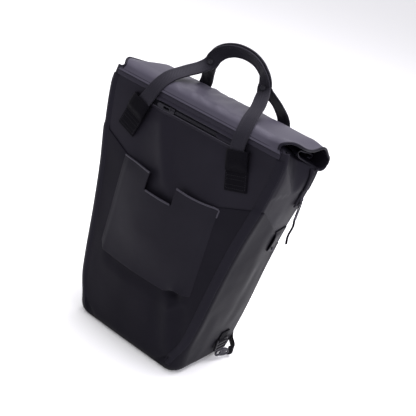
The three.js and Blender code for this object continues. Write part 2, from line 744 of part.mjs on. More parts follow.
function patch(surface, drop) {
  const low = new THREE.Vector2(PATCH_LOW_X, PATCH_LOW_Z - drop);
  const high = new THREE.Vector2(PATCH_HIGH_X, PATCH_HIGH_Z - drop);
  const along = high.clone().sub(low);
  const across = new THREE.Vector2(along.y, -along.x).normalize();
  return strip(4, 4, WEBBING_THICKNESS, PATCH_SEAT, (u, v, off) => {
    const p = low.clone().addScaledVector(along, v).addScaledVector(across, (u - 0.5) * WEBBING_WIDTH);
    return surface(p.x, p.y, off);
  });
}

// inward, back and up are shares of the way from a patch's top to the snap,
// bow is a share of HANDLE_BOW away from the bag's middle, face the way the outer side looks
const FRONT_LEG = [
  { inward: 0.0, back: 0.0, up: 0.0, bow: 0, face: [0, -1, 0] },
  { inward: 0.3, back: 0.0, up: 0.22, bow: 0.2, face: [0, -0.95, 0.2] },
  { inward: 0.36, back: 0.04, up: 0.44, bow: 0.4, face: [0, -0.85, 0.5] },
  { inward: 0.42, back: 0.22, up: 0.64, bow: 0.4, face: [0.1, -0.7, 0.7] },
  { inward: 0.55, back: 0.5, up: 0.78, bow: 0.15, face: [0.15, -0.6, 0.8] },
  { inward: 0.77, back: 0.8, up: 0.87, bow: 0, face: [0.1, -0.7, 0.7] },
  { inward: 0.92, back: 0.94, up: 0.94, bow: 0, face: [0.05, -0.9, 0.4] },
];
const REAR_LEG = [
  { inward: 0.0, back: 0.0, up: 0.0, bow: 0, face: [0, 1, 0] },
  { inward: 0.12, back: 0.0, up: 0.2, bow: 0.3, face: [0, 1, 0.1] },
  { inward: 0.24, back: 0.0, up: 0.38, bow: 0.6, face: [0, 0.95, 0.2] },
  { inward: 0.38, back: 0.1, up: 0.58, bow: 0.85, face: [0, 0.85, 0.5] },
  { inward: 0.57, back: 0.35, up: 0.77, bow: 0.85, face: [0, 0.7, 0.7] },
  { inward: 0.79, back: 0.7, up: 0.9, bow: 0.5, face: [0, 0.8, 0.5] },
  { inward: 0.92, back: 0.92, up: 0.95, bow: 0.15, face: [0, 0.95, 0.3] },
];
// From the snap to the middle of the grip: side is a share of SNAP_X, rise of GRIP_RISE,
// back of HANDLE_BOW, and face is the way the front handle's outer side looks
const GRIP_ARCH = [
  { side: 1.0, rise: 0.0, back: 0.0, face: [0, -1, 0.1] },
  { side: 0.91, rise: 0.2, back: 0.1, face: [-0.15, -0.95, 0.1] },
  { side: 0.72, rise: 0.5, back: 0.25, face: [-0.4, -0.85, -0.1] },
  { side: 0.4, rise: 0.83, back: 0.4, face: [-0.4, -0.85, -0.4] },
  { side: 0.0, rise: 1.0, back: 0.45, face: [0, -0.85, -0.55] },
];

const vectorOf = (row) => new THREE.Vector3(row.x, row.y, row.z);

// The grip's middle line and the direction its front side faces, square to the line
function gripRows() {
  const rows = GRIP_ARCH.map((row) => ({
    x: row.side * SNAP_X, y: SNAP_Y + row.back * HANDLE_BOW, z: SNAP_Z + row.rise * GRIP_RISE,
  }));
  return rows.map((row, k) => {
    const before = vectorOf(rows[Math.max(0, k - 1)]);
    const last = rows[rows.length - 1];
    const after = k < rows.length - 1 ? vectorOf(rows[k + 1]) : new THREE.Vector3(-1, 0, 0).add(vectorOf(last));
    const along = k < rows.length - 1 ? after.sub(before).normalize() : new THREE.Vector3(-1, 0, 0);
    const face = new THREE.Vector3(...GRIP_ARCH[k].face);
    face.addScaledVector(along, -face.dot(along)).normalize();
    return { ...row, face };
  });
}

// Half of a handle from patch to the middle of the grip; turn is -1 for the front, 1 for the rear
function halfHandle(legs, turn, drop, layer) {
  const highZ = PATCH_HIGH_Z - drop;
  const patchY = turn < 0 ? frontY(PATCH_HIGH_X, highZ) : backY(PATCH_HIGH_X, highZ);
  const seat = PATCH_SEAT + WEBBING_THICKNESS + LEG_SEAT + GRIP_THICKNESS / 2;
  const startY = patchY + turn * seat;
  const startZ = highZ - LEG_LAP;
  const strapSize = { width: GRIP_WIDTH, thick: GRIP_THICKNESS };
  const rows = legs.map((leg) => ({
    x: THREE.MathUtils.lerp(PATCH_HIGH_X, SNAP_X, leg.inward),
    y: THREE.MathUtils.lerp(startY, SNAP_Y + layer, leg.back) + turn * leg.bow * HANDLE_BOW,
    z: THREE.MathUtils.lerp(startZ, SNAP_Z, leg.up),
    face: leg.face,
    ...strapSize,
  }));
  const arch = gripRows().map((row) => {
    const at = vectorOf(row).addScaledVector(row.face, -layer);
    return { x: at.x, y: at.y, z: at.z, face: row.face.clone().multiplyScalar(-turn).toArray(), ...strapSize };
  });
  return [...rows, ...arch];
}

function handleRows(legs, turn, drop, layer) {
  const half = halfHandle(legs, turn, drop, layer);
  const other = half.slice(0, -1).reverse().map((row) => ({
    ...row, x: -row.x, face: [-row.face[0], row.face[1], row.face[2]],
  }));
  return [...half, ...other];
}

// Snap cap: a low dome turned about its own axis, which becomes +Z
function snapCap(radius, height) {
  const profile = [
    [0, 0], [radius, 0], [radius, height * 0.45], [radius * 0.75, height * 0.9], [0, height],
  ].map(([x, y]) => new THREE.Vector2(x, y));
  return new THREE.LatheGeometry(profile, 8).rotateX(Math.PI / 2);
}

// Shoulder straps on the back. out is a share of STRAP_REACH from the back panel,
// down a share of the way from the strap's top to its lower end
const SHOULDER_STRAP = [
  { down: 0.0, side: 0.0, out: 0.15 },
  { down: 0.06, side: 0.0, out: 0.2 },
  { down: 0.18, side: 0.1, out: 0.75 },
  { down: 0.36, side: 0.3, out: 1.0 },
  { down: 0.58, side: 0.55, out: 0.95 },
  { down: 0.8, side: 0.8, out: 0.7 },
  { down: 1.0, side: 1.0, out: 0.4 },
];

function shoulderRows() {
  return SHOULDER_STRAP.map((row, k) => {
    const x = THREE.MathUtils.lerp(STRAP_TOP_X, STRAP_END_X, row.side);
    const z = THREE.MathUtils.lerp(STRAP_TOP_Z, STRAP_END_Z, row.down);
    const narrow = k / (SHOULDER_STRAP.length - 1);
    return {
      x,
      y: backY(x, z) + WRAP_THICKNESS + STRAP_REACH * row.out,
      z,
      face: [0, 1, 0],
      width: THREE.MathUtils.lerp(STRAP_WIDTH, LACE_WIDTH + 8, narrow ** 2),
      thick: THREE.MathUtils.lerp(STRAP_THICKNESS, STRAP_THICKNESS * 0.7, narrow),
    };
  });
}

// Side zip: a short closed opening under the roll, its slider at the lower end
const SIDE_ZIP_SEAT = 0.9;

function sideTape() {
  const top = rimHeight(SIDE_ZIP_DEPTH / (TOP_DEPTH / 2 - CORNER_RADIUS)) - CLEARANCE;
  return strip(3, 7, ZIP_TAPE_THICKNESS, SIDE_ZIP_SEAT, (u, v, off) => onSide(
    SIDE_ZIP_DEPTH + (u - 0.5) * ZIP_TAPE_WIDTH, THREE.MathUtils.lerp(SIDE_ZIP_LOW, top, v), off));
}

function sideCoil() {
  const top = rimHeight(SIDE_ZIP_DEPTH / (TOP_DEPTH / 2 - CORNER_RADIUS)) - 2;
  const seat = SIDE_ZIP_SEAT + ZIP_TAPE_THICKNESS + CLEARANCE + ZIP_COIL_RADIUS + 0.2;
  return coil(SIDE_ZIP_SLIDER + SLIDER_LENGTH / 2 + CLEARANCE, top, (z, across, out) => (
    onSide(SIDE_ZIP_DEPTH + across, z, seat + out)));
}

// Side tab: a flap sewn along its back edge, its front edge standing off the cloth
function sideTab() {
  const seat = WRAP_SEAT + WRAP_THICKNESS + CLEARANCE;
  return strip(5, 5, TAB_THICKNESS, seat, (u, v, off) => {
    const slant = (1 - u) * TAB_SLANT;
    const z = THREE.MathUtils.lerp(TAB_LOW_Z + slant, TAB_TOP_Z, v);
    const y = THREE.MathUtils.lerp(TAB_FRONT_Y, TAB_BACK_Y, u);
    const lift = TAB_FULLNESS * Math.sin(Math.PI * v) * (1 - u) ** 2;
    return onSide(y, z, off + lift);
  });
}

// Lower fastening: a webbing anchor on the side, a ladder lock below it and a hook with a ring
function anchor() {
  const seat = WRAP_SEAT + WRAP_THICKNESS + CLEARANCE;
  return strip(4, 3, LACE_THICKNESS, seat, (u, v, off) => onSide(
    ANCHOR_Y + (u - 0.5) * LACE_WIDTH, ANCHOR_Z + v * ANCHOR_HEIGHT, off));
}

function ladderLock() {
  const shape = roundedOutline(THREE.Shape, LOCK_HEIGHT, LOCK_WIDTH, LOCK_BAR * 0.8);
  const slot = (LOCK_HEIGHT - 4 * LOCK_BAR) / 3;
  for (let k = 0; k < 3; k += 1) {
    const middle = -LOCK_HEIGHT / 2 + LOCK_BAR + slot / 2 + k * (slot + LOCK_BAR);
    shape.holes.push(roundedOutline(THREE.Path, slot, LOCK_WIDTH - 2 * LOCK_BAR, slot * 0.3, middle));
  }
  return plate(shape, LOCK_THICKNESS);
}

function hook() {
  const shape = new THREE.Shape();
  shape.moveTo(-HOOK_LENGTH / 2, -HOOK_WIDTH * 0.3);
  shape.lineTo(HOOK_LENGTH * 0.3, -HOOK_WIDTH / 2);
  shape.lineTo(HOOK_LENGTH / 2, -HOOK_WIDTH * 0.28);
  shape.lineTo(HOOK_LENGTH * 0.1, HOOK_WIDTH / 2);
  shape.lineTo(-HOOK_LENGTH * 0.4, HOOK_WIDTH / 2);
  shape.lineTo(-HOOK_LENGTH / 2, HOOK_WIDTH * 0.2);
  const ring = new THREE.Path();
  ring.absarc(-HOOK_LENGTH * 0.28, 0, RING_HOLE / 2, 0, Math.PI * 2, true);
  shape.holes.push(ring);
  return plate(shape, HOOK_THICKNESS);
}

// Where the lower fastening lies on the right side
const LAYER_TOP = WRAP_SEAT + WRAP_THICKNESS + CLEARANCE;
const LOCK_LEAN = 2.3; // the flat lock stands off the sloping side by this much more
const lockZ = ANCHOR_Z - CLEARANCE - LOCK_HEIGHT / 2;
const lockPlace = onSide(ANCHOR_Y, lockZ, LAYER_TOP + LOCK_LEAN + LOCK_THICKNESS / 2);
const hookAlong = new THREE.Vector3(0.25, 1, 0).normalize();
const hookPlace = new THREE.Vector3(
  lockPlace.x + 2, ANCHOR_Y + HOOK_LENGTH * 0.35, lockZ - (LOCK_HEIGHT + HOOK_WIDTH) / 2 - CLEARANCE);

// Webbing of the shoulder strap: from its lower end down the back and round the edge to the hook
function lace() {
  const straps = shoulderRows();
  const end = vectorOf(straps[straps.length - 1]);
  const down = end.clone().sub(vectorOf(straps[straps.length - 2])).normalize();
  const start = end.clone().addScaledVector(down, CLEARANCE * 2);
  const second = end.clone().addScaledVector(down, LACE_WIDTH / 2);
  const hookEnd = hookPlace.clone().addScaledVector(hookAlong, HOOK_LENGTH / 2 + CLEARANCE * 2);
  const low = sectionAt(hookEnd.z);
  const off = LAYER_TOP + LACE_THICKNESS / 2 + 1.5;
  const rows = [
    { at: start, face: [0, 1, 0] },
    { at: second, face: [0, 1, 0] },
    { at: onBack(low.halfWidth * 0.9, LACE_TURN_Z + 22, off), face: [0, 1, 0] },
    { at: onBack(low.halfWidth * 0.95, LACE_TURN_Z, off), face: [0.2, 1, 0] },
    {
      at: new THREE.Vector3(low.halfWidth + off * 0.8, low.halfDepth + off * 0.2, hookEnd.z + 6),
      face: [0.8, 0.8, 0],
    },
    { at: hookEnd.clone().addScaledVector(hookAlong, 9), face: [1, 0.3, 0] },
    { at: hookEnd, face: [1, -0.1, 0] },
  ].map((row) => ({
    x: row.at.x, y: row.at.y, z: row.at.z, face: row.face, width: LACE_WIDTH * 0.75, thick: LACE_THICKNESS,
  }));
  return strap(rows, 2 * (rows.length - 1));
}

add('body_shell', bodyShell(), coatedCloth);
add('lower_wrap', lowerWrap(), coatedCloth);
add('front_sleeve', sleeve(), coatedCloth);
add('roll_top', rollTop(), coatedCloth);
add('mouth_band', mouthBand(), bandCloth);
add('edge_band_right', edgeBand(), bandCloth);
add('edge_band_left', mirrored(edgeBand()), bandCloth);

add('zip_tape_front', zipTape(), zipCloth);
add('zip_coil_front', frontCoil(), zipCoil);
add('zip_welt_front', zipWelt(), bandCloth);
add('zip_end_tab', zipEndTab(), bandCloth);
for (const [name, surface, drop] of [['front', onFront, 0], ['rear', onBack, PATCH_BACK_DROP]]) {
  const right = patch(surface, drop);
  add(`handle_patch_${name}_right`, right, webbing);
  add(`handle_patch_${name}_left`, mirrored(right), webbing);
}
const GRIP_LAYER = GRIP_THICKNESS + GRIP_GAP;
const frontRows = handleRows(FRONT_LEG, -1, 0, 0);
const rearRows = handleRows(REAR_LEG, 1, PATCH_BACK_DROP, GRIP_LAYER);
const STEPS_PER_ROW = 3;
add('handle_front', strap(frontRows, STEPS_PER_ROW * (frontRows.length - 1)), handleCloth);
add('handle_rear', strap(rearRows, STEPS_PER_ROW * (rearRows.length - 1)), webbing);
const shoulder = strap(shoulderRows(), 3 * (SHOULDER_STRAP.length - 1));
add('shoulder_strap_right', shoulder, coatedCloth);
add('shoulder_strap_left', mirrored(shoulder), coatedCloth);

const X_AXIS = new THREE.Vector3(1, 0, 0);
const Y_AXIS = new THREE.Vector3(0, 1, 0);
const Z_AXIS = new THREE.Vector3(0, 0, 1);
const DOWN = new THREE.Vector3(0, 0, -1);

// Front slider and its pull, which lies to the left over the cloth
const sliderSeat = ZIP_SEAT + ZIP_TAPE_THICKNESS + 2 * CLEARANCE + SLIDER_THICKNESS / 2;
place(add('zip_slider_front', sliderBody(), darkMetal),
  onFront(SLIDER_X, ZIP_HEIGHT, sliderSeat), X_AXIS, new THREE.Vector3(0, -1, 0));
place(add('zip_pull_front', pullTab(PULL_LENGTH, PULL_WIDTH, PULL_THICKNESS), darkMetal),
  onFront(SLIDER_X - (SLIDER_LENGTH + PULL_LENGTH) / 2 - CLEARANCE, ZIP_HEIGHT, sliderSeat),
  X_AXIS, new THREE.Vector3(0, -1, 0));

// Side zip, slider, pull and the tape tab below the pull
add('zip_tape_side', sideTape(), zipCloth);
add('zip_coil_side', sideCoil(), zipCoil);
const sideSeat = SIDE_ZIP_SEAT + ZIP_TAPE_THICKNESS + 4 * CLEARANCE + SLIDER_THICKNESS / 2;
const sideSlider = onSide(SIDE_ZIP_DEPTH, SIDE_ZIP_SLIDER, sideSeat);
place(add('zip_slider_side', sliderBody(), darkMetal), sideSlider, Z_AXIS, X_AXIS);
const pullTop = SIDE_ZIP_SLIDER - SLIDER_LENGTH / 2 - CLEARANCE;
place(add('zip_pull_side', pullTab(SIDE_PULL_LENGTH, PULL_WIDTH, PULL_THICKNESS), darkMetal),
  new THREE.Vector3(sideSlider.x, SIDE_ZIP_DEPTH, pullTop - SIDE_PULL_LENGTH / 2), Z_AXIS, X_AXIS);
const tapeTop = pullTop - SIDE_PULL_LENGTH - CLEARANCE;
add('zip_pull_tape', strap([0, 0.3, 0.7, 1].map((down) => ({
  x: sideSlider.x, y: SIDE_ZIP_DEPTH, z: tapeTop - down * SIDE_CORD_LENGTH,
  face: [1, 0, 0], width: SIDE_CORD_DIAMETER * 1.4, thick: SIDE_CORD_DIAMETER * 0.8,
})), 4), webbing);

// A piece placed on the right side, and its mirror image on the left
function pair(name, geometry, material, point, along, face) {
  const right = place(add(`${name}_right`, geometry, material), point, along, face);
  right.updateMatrix();
  const baked = mergeVertices(geometry.clone().deleteAttribute('normal').deleteAttribute('uv'), 1e-4);
  add(`${name}_left`, mirrored(baked.applyMatrix4(right.matrix)), material);
}

// Side tabs with their rivets
add('side_tab_right', sideTab(), bandCloth);
add('side_tab_left', mirrored(sideTab()), bandCloth);
const rivetPlace = onSide(TAB_FRONT_Y + 14, TAB_LOW_Z + TAB_SLANT + 2, LAYER_TOP + TAB_THICKNESS + 1.7);
pair('tab_rivet', snapCap(RIVET_RADIUS, RIVET_HEIGHT), darkMetal, rivetPlace, Y_AXIS, X_AXIS);

// Snaps through both handles at the ends of the grip
for (const [name, rows, legs, seat] of [
  ['front', frontRows, FRONT_LEG, SNAP_SEAT_FRONT], ['rear', rearRows, REAR_LEG, SNAP_SEAT_REAR],
]) {
  const frame = strapFrames(rows, STEPS_PER_ROW * (rows.length - 1))[STEPS_PER_ROW * legs.length];
  const at = frame.place.clone().addScaledVector(frame.face, GRIP_THICKNESS / 2 + seat);
  pair(`snap_${name}`, snapCap(SNAP_RADIUS, SNAP_HEIGHT), darkMetal, at, frame.along, frame.face);
}

// Lower fastenings on both sides
add('strap_anchor_right', anchor(), webbing);
add('strap_anchor_left', mirrored(anchor()), webbing);
pair('ladder_lock', ladderLock(), blackPlastic, lockPlace, DOWN, X_AXIS);
pair('strap_hook', hook(), greyPlastic, hookPlace, hookAlong, X_AXIS);
add('strap_webbing_right', lace(), webbing);
add('strap_webbing_left', mirrored(lace()), webbing);

// The origin is the middle of the footprint box, on the surface that the bag stands on
const reach = new THREE.Box3().setFromObject(bag);
bag.position.set(-(reach.min.x + reach.max.x) / 2, -(reach.min.y + reach.max.y) / 2, -reach.min.z);

export default bag;
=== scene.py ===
# %% [markdown]
# A cyclist's roll-top backpack in dark coated cloth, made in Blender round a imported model.
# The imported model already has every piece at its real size. This lesson gives each piece the finer
# shape and the finish that the eye looks for: soft folds, folded edges, stitches, webbing and teeth.
# Sizes are in millimetres of the bag's own frame. One helper turns them into metres at the end.

# %% Tools and the fixed frame
import json
import math

import bmesh
import bpy
from mathutils import Matrix, Vector, noise

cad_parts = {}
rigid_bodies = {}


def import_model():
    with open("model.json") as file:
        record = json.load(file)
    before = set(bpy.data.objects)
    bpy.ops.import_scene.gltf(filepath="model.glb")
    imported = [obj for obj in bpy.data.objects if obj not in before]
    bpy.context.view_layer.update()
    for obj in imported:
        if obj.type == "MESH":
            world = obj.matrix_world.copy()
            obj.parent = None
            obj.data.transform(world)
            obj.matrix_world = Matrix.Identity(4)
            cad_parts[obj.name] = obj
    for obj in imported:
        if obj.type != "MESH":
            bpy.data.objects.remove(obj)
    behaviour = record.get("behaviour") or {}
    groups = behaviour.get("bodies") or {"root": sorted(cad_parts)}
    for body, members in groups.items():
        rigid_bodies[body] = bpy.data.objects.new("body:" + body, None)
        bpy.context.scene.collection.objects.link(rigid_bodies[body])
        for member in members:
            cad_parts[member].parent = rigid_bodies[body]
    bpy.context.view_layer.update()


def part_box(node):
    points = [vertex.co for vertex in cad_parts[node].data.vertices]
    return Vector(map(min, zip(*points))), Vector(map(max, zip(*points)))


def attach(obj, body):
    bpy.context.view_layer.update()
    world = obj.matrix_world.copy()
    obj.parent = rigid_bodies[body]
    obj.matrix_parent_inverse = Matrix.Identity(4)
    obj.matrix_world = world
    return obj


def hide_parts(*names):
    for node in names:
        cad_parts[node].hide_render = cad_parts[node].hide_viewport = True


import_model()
MM = 0.001

# %% [markdown]
# The bag is a tapered box with soft corners, filled so that its faces swell a little. It could be
# sculpted by hand, but then no pocket or band would lie true on it. So its width, depth and fullness are
# a short table over the height, as shares of the main sizes, with a smooth curve through the rows.
# Every other cloth piece is laid on that same surface, a little further out.

# %% Main sizes of the bag
RIM_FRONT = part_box("body_shell")[1].z / MM
RIM_BACK = 387.0
BASE_WIDTH = 222.0
TOP_WIDTH = 344.0
BASE_DEPTH = 152.0
TOP_DEPTH = 124.0
BELLY = 12.0
SIDE_SWELL = 5.0
BACK_SWELL = 4.0
CORNER = 9.0
FRONT_SOFTNESS = 15.0
BASE_RADIUS = 18.0
GUSSET_DEPTH = 26.0
GUSSET_APEX = 355.0
CREASE_ROUND, EDGE_ROUND = 0.16, 0.09  # how soft the V's crease and edges are
WALL = 2.0
SLEEVE_HALF = 97.0
SLEEVE_BOTTOM, SLEEVE_TOP = 137.0, 306.0
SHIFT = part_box("body_shell")[1].y / MM - BASE_DEPTH / 2
SECTIONS = (  # height, width, depth, belly, swell
    (0.0, 0.0, 0.0, 0.0, 0.0),
    (0.12, 0.13, 0.12, 0.35, 0.4),
    (0.25, 0.27, 0.25, 0.65, 0.8),
    (0.45, 0.44, 0.45, 1.0, 1.0),
    (0.62, 0.62, 0.62, 1.0, 0.9),
    (0.77, 0.84, 0.77, 0.7, 0.5),
    (0.93, 1.0, 0.93, 0.1, 0.0),
    (1.0, 0.95, 1.0, 0.0, 0.0),
)
print("the bag's own frame lies", round(SHIFT, 2), "mm behind the packed frame's origin")


# %% [markdown]
# Soft shapes come from a few smooth functions: a step that eases in and out, a bell for a fold, a dome
# for a face that swells between its edges, and a curve through the rows of a table. The sides are also
# folded in below the roll, in a V that is deepest in the middle.

# %% Smooth steps, bells and the body's section at a height
def mix(a, b, t):
    return a + (b - a) * t


def clamp(t, low=0.0, high=1.0):
    return max(low, min(high, t))


def smooth(t, low=0.0, high=1.0):
    """0 below low, 1 above high, and an even slope between."""
    t = clamp((t - low) / (high - low))
    return t * t * (3 - 2 * t)


def bell(t):
    return math.exp(-t * t)


def dome(share):
    return max(0.0, 1 - share * share) ** 1.5


def hermite(rows, at, place):
    """Value number `at` of each row, at `place` in the first column, on a smooth curve."""
    last = len(rows) - 1
    k = 0
    while k < last - 1 and rows[k + 1][0] < place:
        k += 1
    low, high = rows[k], rows[k + 1]
    before, after = rows[max(0, k - 1)], rows[min(last, k + 2)]
    span = high[0] - low[0]
    t = (place - low[0]) / span
    start = (high[at] - before[at]) / (high[0] - before[0]) * span
    end = (after[at] - low[at]) / (after[0] - low[0]) * span
    rise = high[at] - low[at]
    return low[at] + t * (start + t * (3 * rise - 2 * start - end + t * (start + end - 2 * rise)))


def section_at(z):
    """Half width, half depth, belly, side swell and back swell at a height."""
    share = clamp(z / RIM_FRONT)
    width, depth, belly, swell = (hermite(SECTIONS, at, share) for at in (1, 2, 3, 4))
    return (mix(BASE_WIDTH, TOP_WIDTH, width) / 2, mix(BASE_DEPTH, TOP_DEPTH, depth) / 2,
            BELLY * belly, SIDE_SWELL * swell, BACK_SWELL * swell)


def gusset_inset(y, z):
    """How far the side is folded in below the roll: a V with a softly rounded crease."""
    rise = (z - GUSSET_APEX) / (RIM_FRONT - GUSSET_APEX)
    reach = rise - math.hypot(y / (TOP_DEPTH / 2), CREASE_ROUND) + CREASE_ROUND
    depth = GUSSET_DEPTH / 2 * (reach + math.hypot(reach, EDGE_ROUND) - EDGE_ROUND)
    return depth if rise > 0 else 0.0


half_width, half_depth = section_at(RIM_FRONT / 2)[:2]
print("half way up the bag is", round(2 * half_width), "by", round(2 * half_depth), "mm")

# %% [markdown]
# Filled cloth is never flat. The front has one soft ridge that runs from the zip down to the notch of
# the sleeve, and below the sleeve some drape folds hang from its slack corner. A cloth simulation would
# make folds too, but not these ones in these places. So each fold is a bell across a line, and smooth
# noise adds the slight unevenness that a filled bag has all over.

# %% Soft folds of the cloth
FRONT_FOLDS = (  # x and z of the upper end, x and z of the lower end, width, height
    (-56.0, 396.0, 2.0, 286.0, 14.0, 5.2),
    (-92.0, 398.0, -66.0, 300.0, 22.0, -2.8),
    (52.0, 396.0, 40.0, 300.0, 30.0, 1.4),
    (62.0, 132.0, 88.0, 36.0, 12.0, 3.4),
    (38.0, 128.0, 58.0, 40.0, 12.0, -1.8),
    (88.0, 130.0, 104.0, 46.0, 9.0, -3.0),
    (92.0, 134.0, 66.0, 108.0, 5.0, 1.8),
    (-30.0, 120.0, -44.0, 24.0, 24.0, 1.2),
    (62.0, 2.0, 98.0, 30.0, 4.5, -5.0),
    (-92.0, 24.0, -70.0, 6.0, 5.0, -2.4),
)
SIDE_FOLDS = (  # y and z of the upper end, y and z of the lower end, width, height
    (-12.0, 330.0, 2.0, 170.0, 16.0, 1.5),
    (24.0, 210.0, 14.0, 80.0, 13.0, -1.1),
    (-34.0, 120.0, -24.0, 30.0, 12.0, 1.0),
)
NOISE_SEED = Vector((3.1, 7.7, 1.3))


def fold_height(folds, across, z):
    """The sum of all folds at a place: each is a bell across its line that fades at both ends."""
    total = 0.0
    for top_a, top_z, low_a, low_z, width, height in folds:
        run = Vector((low_a - top_a, low_z - top_z))
        length = run.length
        run /= length
        away = Vector((across - top_a, z - top_z))
        along = away.dot(run) / length
        side = away.x * run.y - away.y * run.x
        ends = smooth(along, -0.12, 0.18) * (1 - smooth(along, 0.8, 1.15))
        total += height * bell(side / width) * ends
    return total


def unevenness(a, b, size, height):
    """Smooth noise whose bumps are about `size` wide."""
    return height * noise.noise(Vector((a / size, b / size, 0)) + NOISE_SEED)


print("folds:", len(FRONT_FOLDS), "on the front and", len(SIDE_FOLDS), "on the side")


# %% [markdown]
# The pocket draws the cloth in along its lower edge, and under its slack corner there is a small dark
# gap. Both are hollows in the front's relief, so the cloth behind and the pocket itself know of them.
# Three functions then give a point on the front, the back and the side at any distance from the cloth.

# %% The gap under the sleeve, and the relief of each face
GROOVE_DEPTH = 3.6
HOLLOW_DEPTH, HOLLOW_X, HOLLOW_WIDTH, HOLLOW_HEIGHT = 6.5, 66.0, 13.0, 8.0


def hollow(x, z):
    """The dark gap below the sleeve's slack corner."""
    level = (z - SLEEVE_BOTTOM - 1) / HOLLOW_HEIGHT
    return HOLLOW_DEPTH * bell((x - HOLLOW_X) / HOLLOW_WIDTH) * bell(level)


def tuck(x, z):
    """How far the cloth is drawn in under the sleeve's lower edge, most of all at its slack corner."""
    rise = z - SLEEVE_BOTTOM
    level = smooth(rise, -30, -4) * (1 - smooth(rise, 8, 36))
    groove = GROOVE_DEPTH * level * (1 - smooth(abs(x) / SLEEVE_HALF, 0.66, 0.92))
    return groove + hollow(x, z)


def front_relief(x, z):
    edge = 1 - smooth(abs(x) / (section_at(z)[0] - CORNER), 0.86, 1.0)
    rim = 1 - smooth(z, RIM_FRONT - 34, RIM_FRONT - 12)
    base = smooth(z, 0, BASE_RADIUS)
    waves = unevenness(x, z, 74, 1.5) + unevenness(x + 90, z, 31, 0.5)
    return edge * rim * base * (fold_height(FRONT_FOLDS, x, z) + waves) - tuck(x, z)


def side_relief(y, z):
    edge = 1 - smooth(abs(y) / (section_at(z)[1] - CORNER), 0.8, 1.0)
    base = smooth(z, 0, BASE_RADIUS)
    waves = unevenness(y + 400, z, 60, 1.3) + unevenness(y + 300, z, 24, 0.4)
    return edge * base * (fold_height(SIDE_FOLDS, y, z) + waves)


def back_relief(x, z):
    edge = 1 - smooth(abs(x) / (section_at(z)[0] - CORNER), 0.86, 1.0)
    return edge * smooth(z, 0, BASE_RADIUS) * unevenness(x + 700, z, 66, 1.2)


def on_front(x, z, off=0.0):
    """A point `off` millimetres out from the front at x and z."""
    width, depth, belly, _, _ = section_at(z)
    return Vector((x, -depth - belly * dome(x / (width - CORNER)) - front_relief(x, z) - off, z))


def on_back(x, z, off=0.0):
    width, depth, _, _, swell = section_at(z)
    return Vector((x, depth + swell * dome(x / (width - CORNER)) + back_relief(x, z) + off, z))


def on_side(y, z, off=0.0):
    width, depth, _, swell, _ = section_at(z)
    x = width + swell * dome(y / (depth - CORNER)) - gusset_inset(y, z)
    return Vector((x + side_relief(y, z) + off, y, z))


print("the ridge stands", round(front_relief(-27, 340), 1), "mm proud of the front")

# %% [markdown]
# Cloth and webbing are sheets. A sheet starts as a flat grid from the grid operator, and each of its
# points is then put where the piece lies. Its own UV map is in metres, so a weave keeps its real size
# and follows the piece round every bend. A Solidify modifier gives it its wall, and a Bevel rounds the
# cut edges, because a sharp cloth edge catches no light. The bag's left and right sides have the same
# fittings, so most small pieces are made once for the right and copied over to the left.


# %% Helpers that make a mesh
def sheet(columns, rows, place, size=(1.0, 1.0)):
    """A grid of cells whose corner (i, j) is put at place(i, j), with UVs from 0 to size in metres."""
    bm = bmesh.new()
    weave = bm.loops.layers.uv.new("weave")
    bmesh.ops.create_grid(bm, x_segments=columns, y_segments=rows, size=0.5)
    for face in bm.faces:
        for loop in face.loops:
            at = loop.vert.co
            loop[weave].uv = ((at.x + 0.5) * size[0], (at.y + 0.5) * size[1])
    for v in bm.verts:
        v.co = place(round((v.co.x + 0.5) * columns), round((v.co.y + 0.5) * rows))
    return bm


def close_up(bm, distance=0.02):
    """Joins the seam of a sheet that has been rolled into a tube."""
    bmesh.ops.remove_doubles(bm, verts=bm.verts, dist=distance)
    return bm


def cap_ends(bm):
    rim = [edge for edge in bm.edges if edge.is_boundary]
    bmesh.ops.holes_fill(bm, edges=rim, sides=0)
    bmesh.ops.recalc_face_normals(bm, faces=bm.faces)
    return bm


def mirror_over(bm):
    """The same mesh on the other side of the bag, with its faces turned to point outwards again."""
    twin = bm.copy()
    bmesh.ops.scale(twin, vec=(-1, 1, 1), verts=twin.verts)
    bmesh.ops.reverse_faces(twin, faces=twin.faces)
    return twin


print("mesh helpers ready")


# %% [markdown]
# Every mesh is made in millimetres. This last helper turns it into metres, gives it its material, wall
# and rounded edge, and tells the frame what it rides on and what it replaces.

# %% Helpers that finish a piece
pieces = []


def finish(bm, name, material, slot, replaces=(), wall=0.0, edge=0.0, sharp=40.0, inside=None):
    """Turns a mesh in millimetres into a piece that rides on the bag."""
    bmesh.ops.scale(bm, vec=(MM, MM, MM), verts=bm.verts)
    bmesh.ops.translate(bm, vec=(0, SHIFT * MM, 0), verts=bm.verts)
    mesh = bpy.data.meshes.new(name)
    bm.to_mesh(mesh)
    bm.free()
    mesh.shade_smooth()
    if sharp:
        mesh.set_sharp_from_angle(angle=math.radians(sharp))
    piece = bpy.data.objects.new(name, mesh)
    bpy.context.scene.collection.objects.link(piece)
    mesh.materials.append(material)
    if wall:
        solid = piece.modifiers.new("wall", "SOLIDIFY")
        solid.thickness = wall * MM
        solid.offset = -1
        if inside:
            mesh.materials.append(inside)
            solid.material_offset = 1
            solid.material_offset_rim = 1
    if edge:
        bevel = piece.modifiers.new("edge", "BEVEL")
        bevel.width = edge * MM
        bevel.segments = 2
        bevel.limit_method = "ANGLE"
        bevel.angle_limit = math.radians(50)
    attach(piece, "root")
    if replaces:
        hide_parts(*replaces)
    pieces.append(piece)
    return piece


def finish_pair(bm, name, material, slot, replaces="", **form):
    """Makes the right piece from a mesh, and the left one from its mirror image."""
    for hand, side in (("right", bm), ("left", mirror_over(bm))):
        finish(side, f"{name}_{hand}", material, slot, [f"{replaces}_{hand}"] if replaces else (), **form)


print("finishing helpers ready")

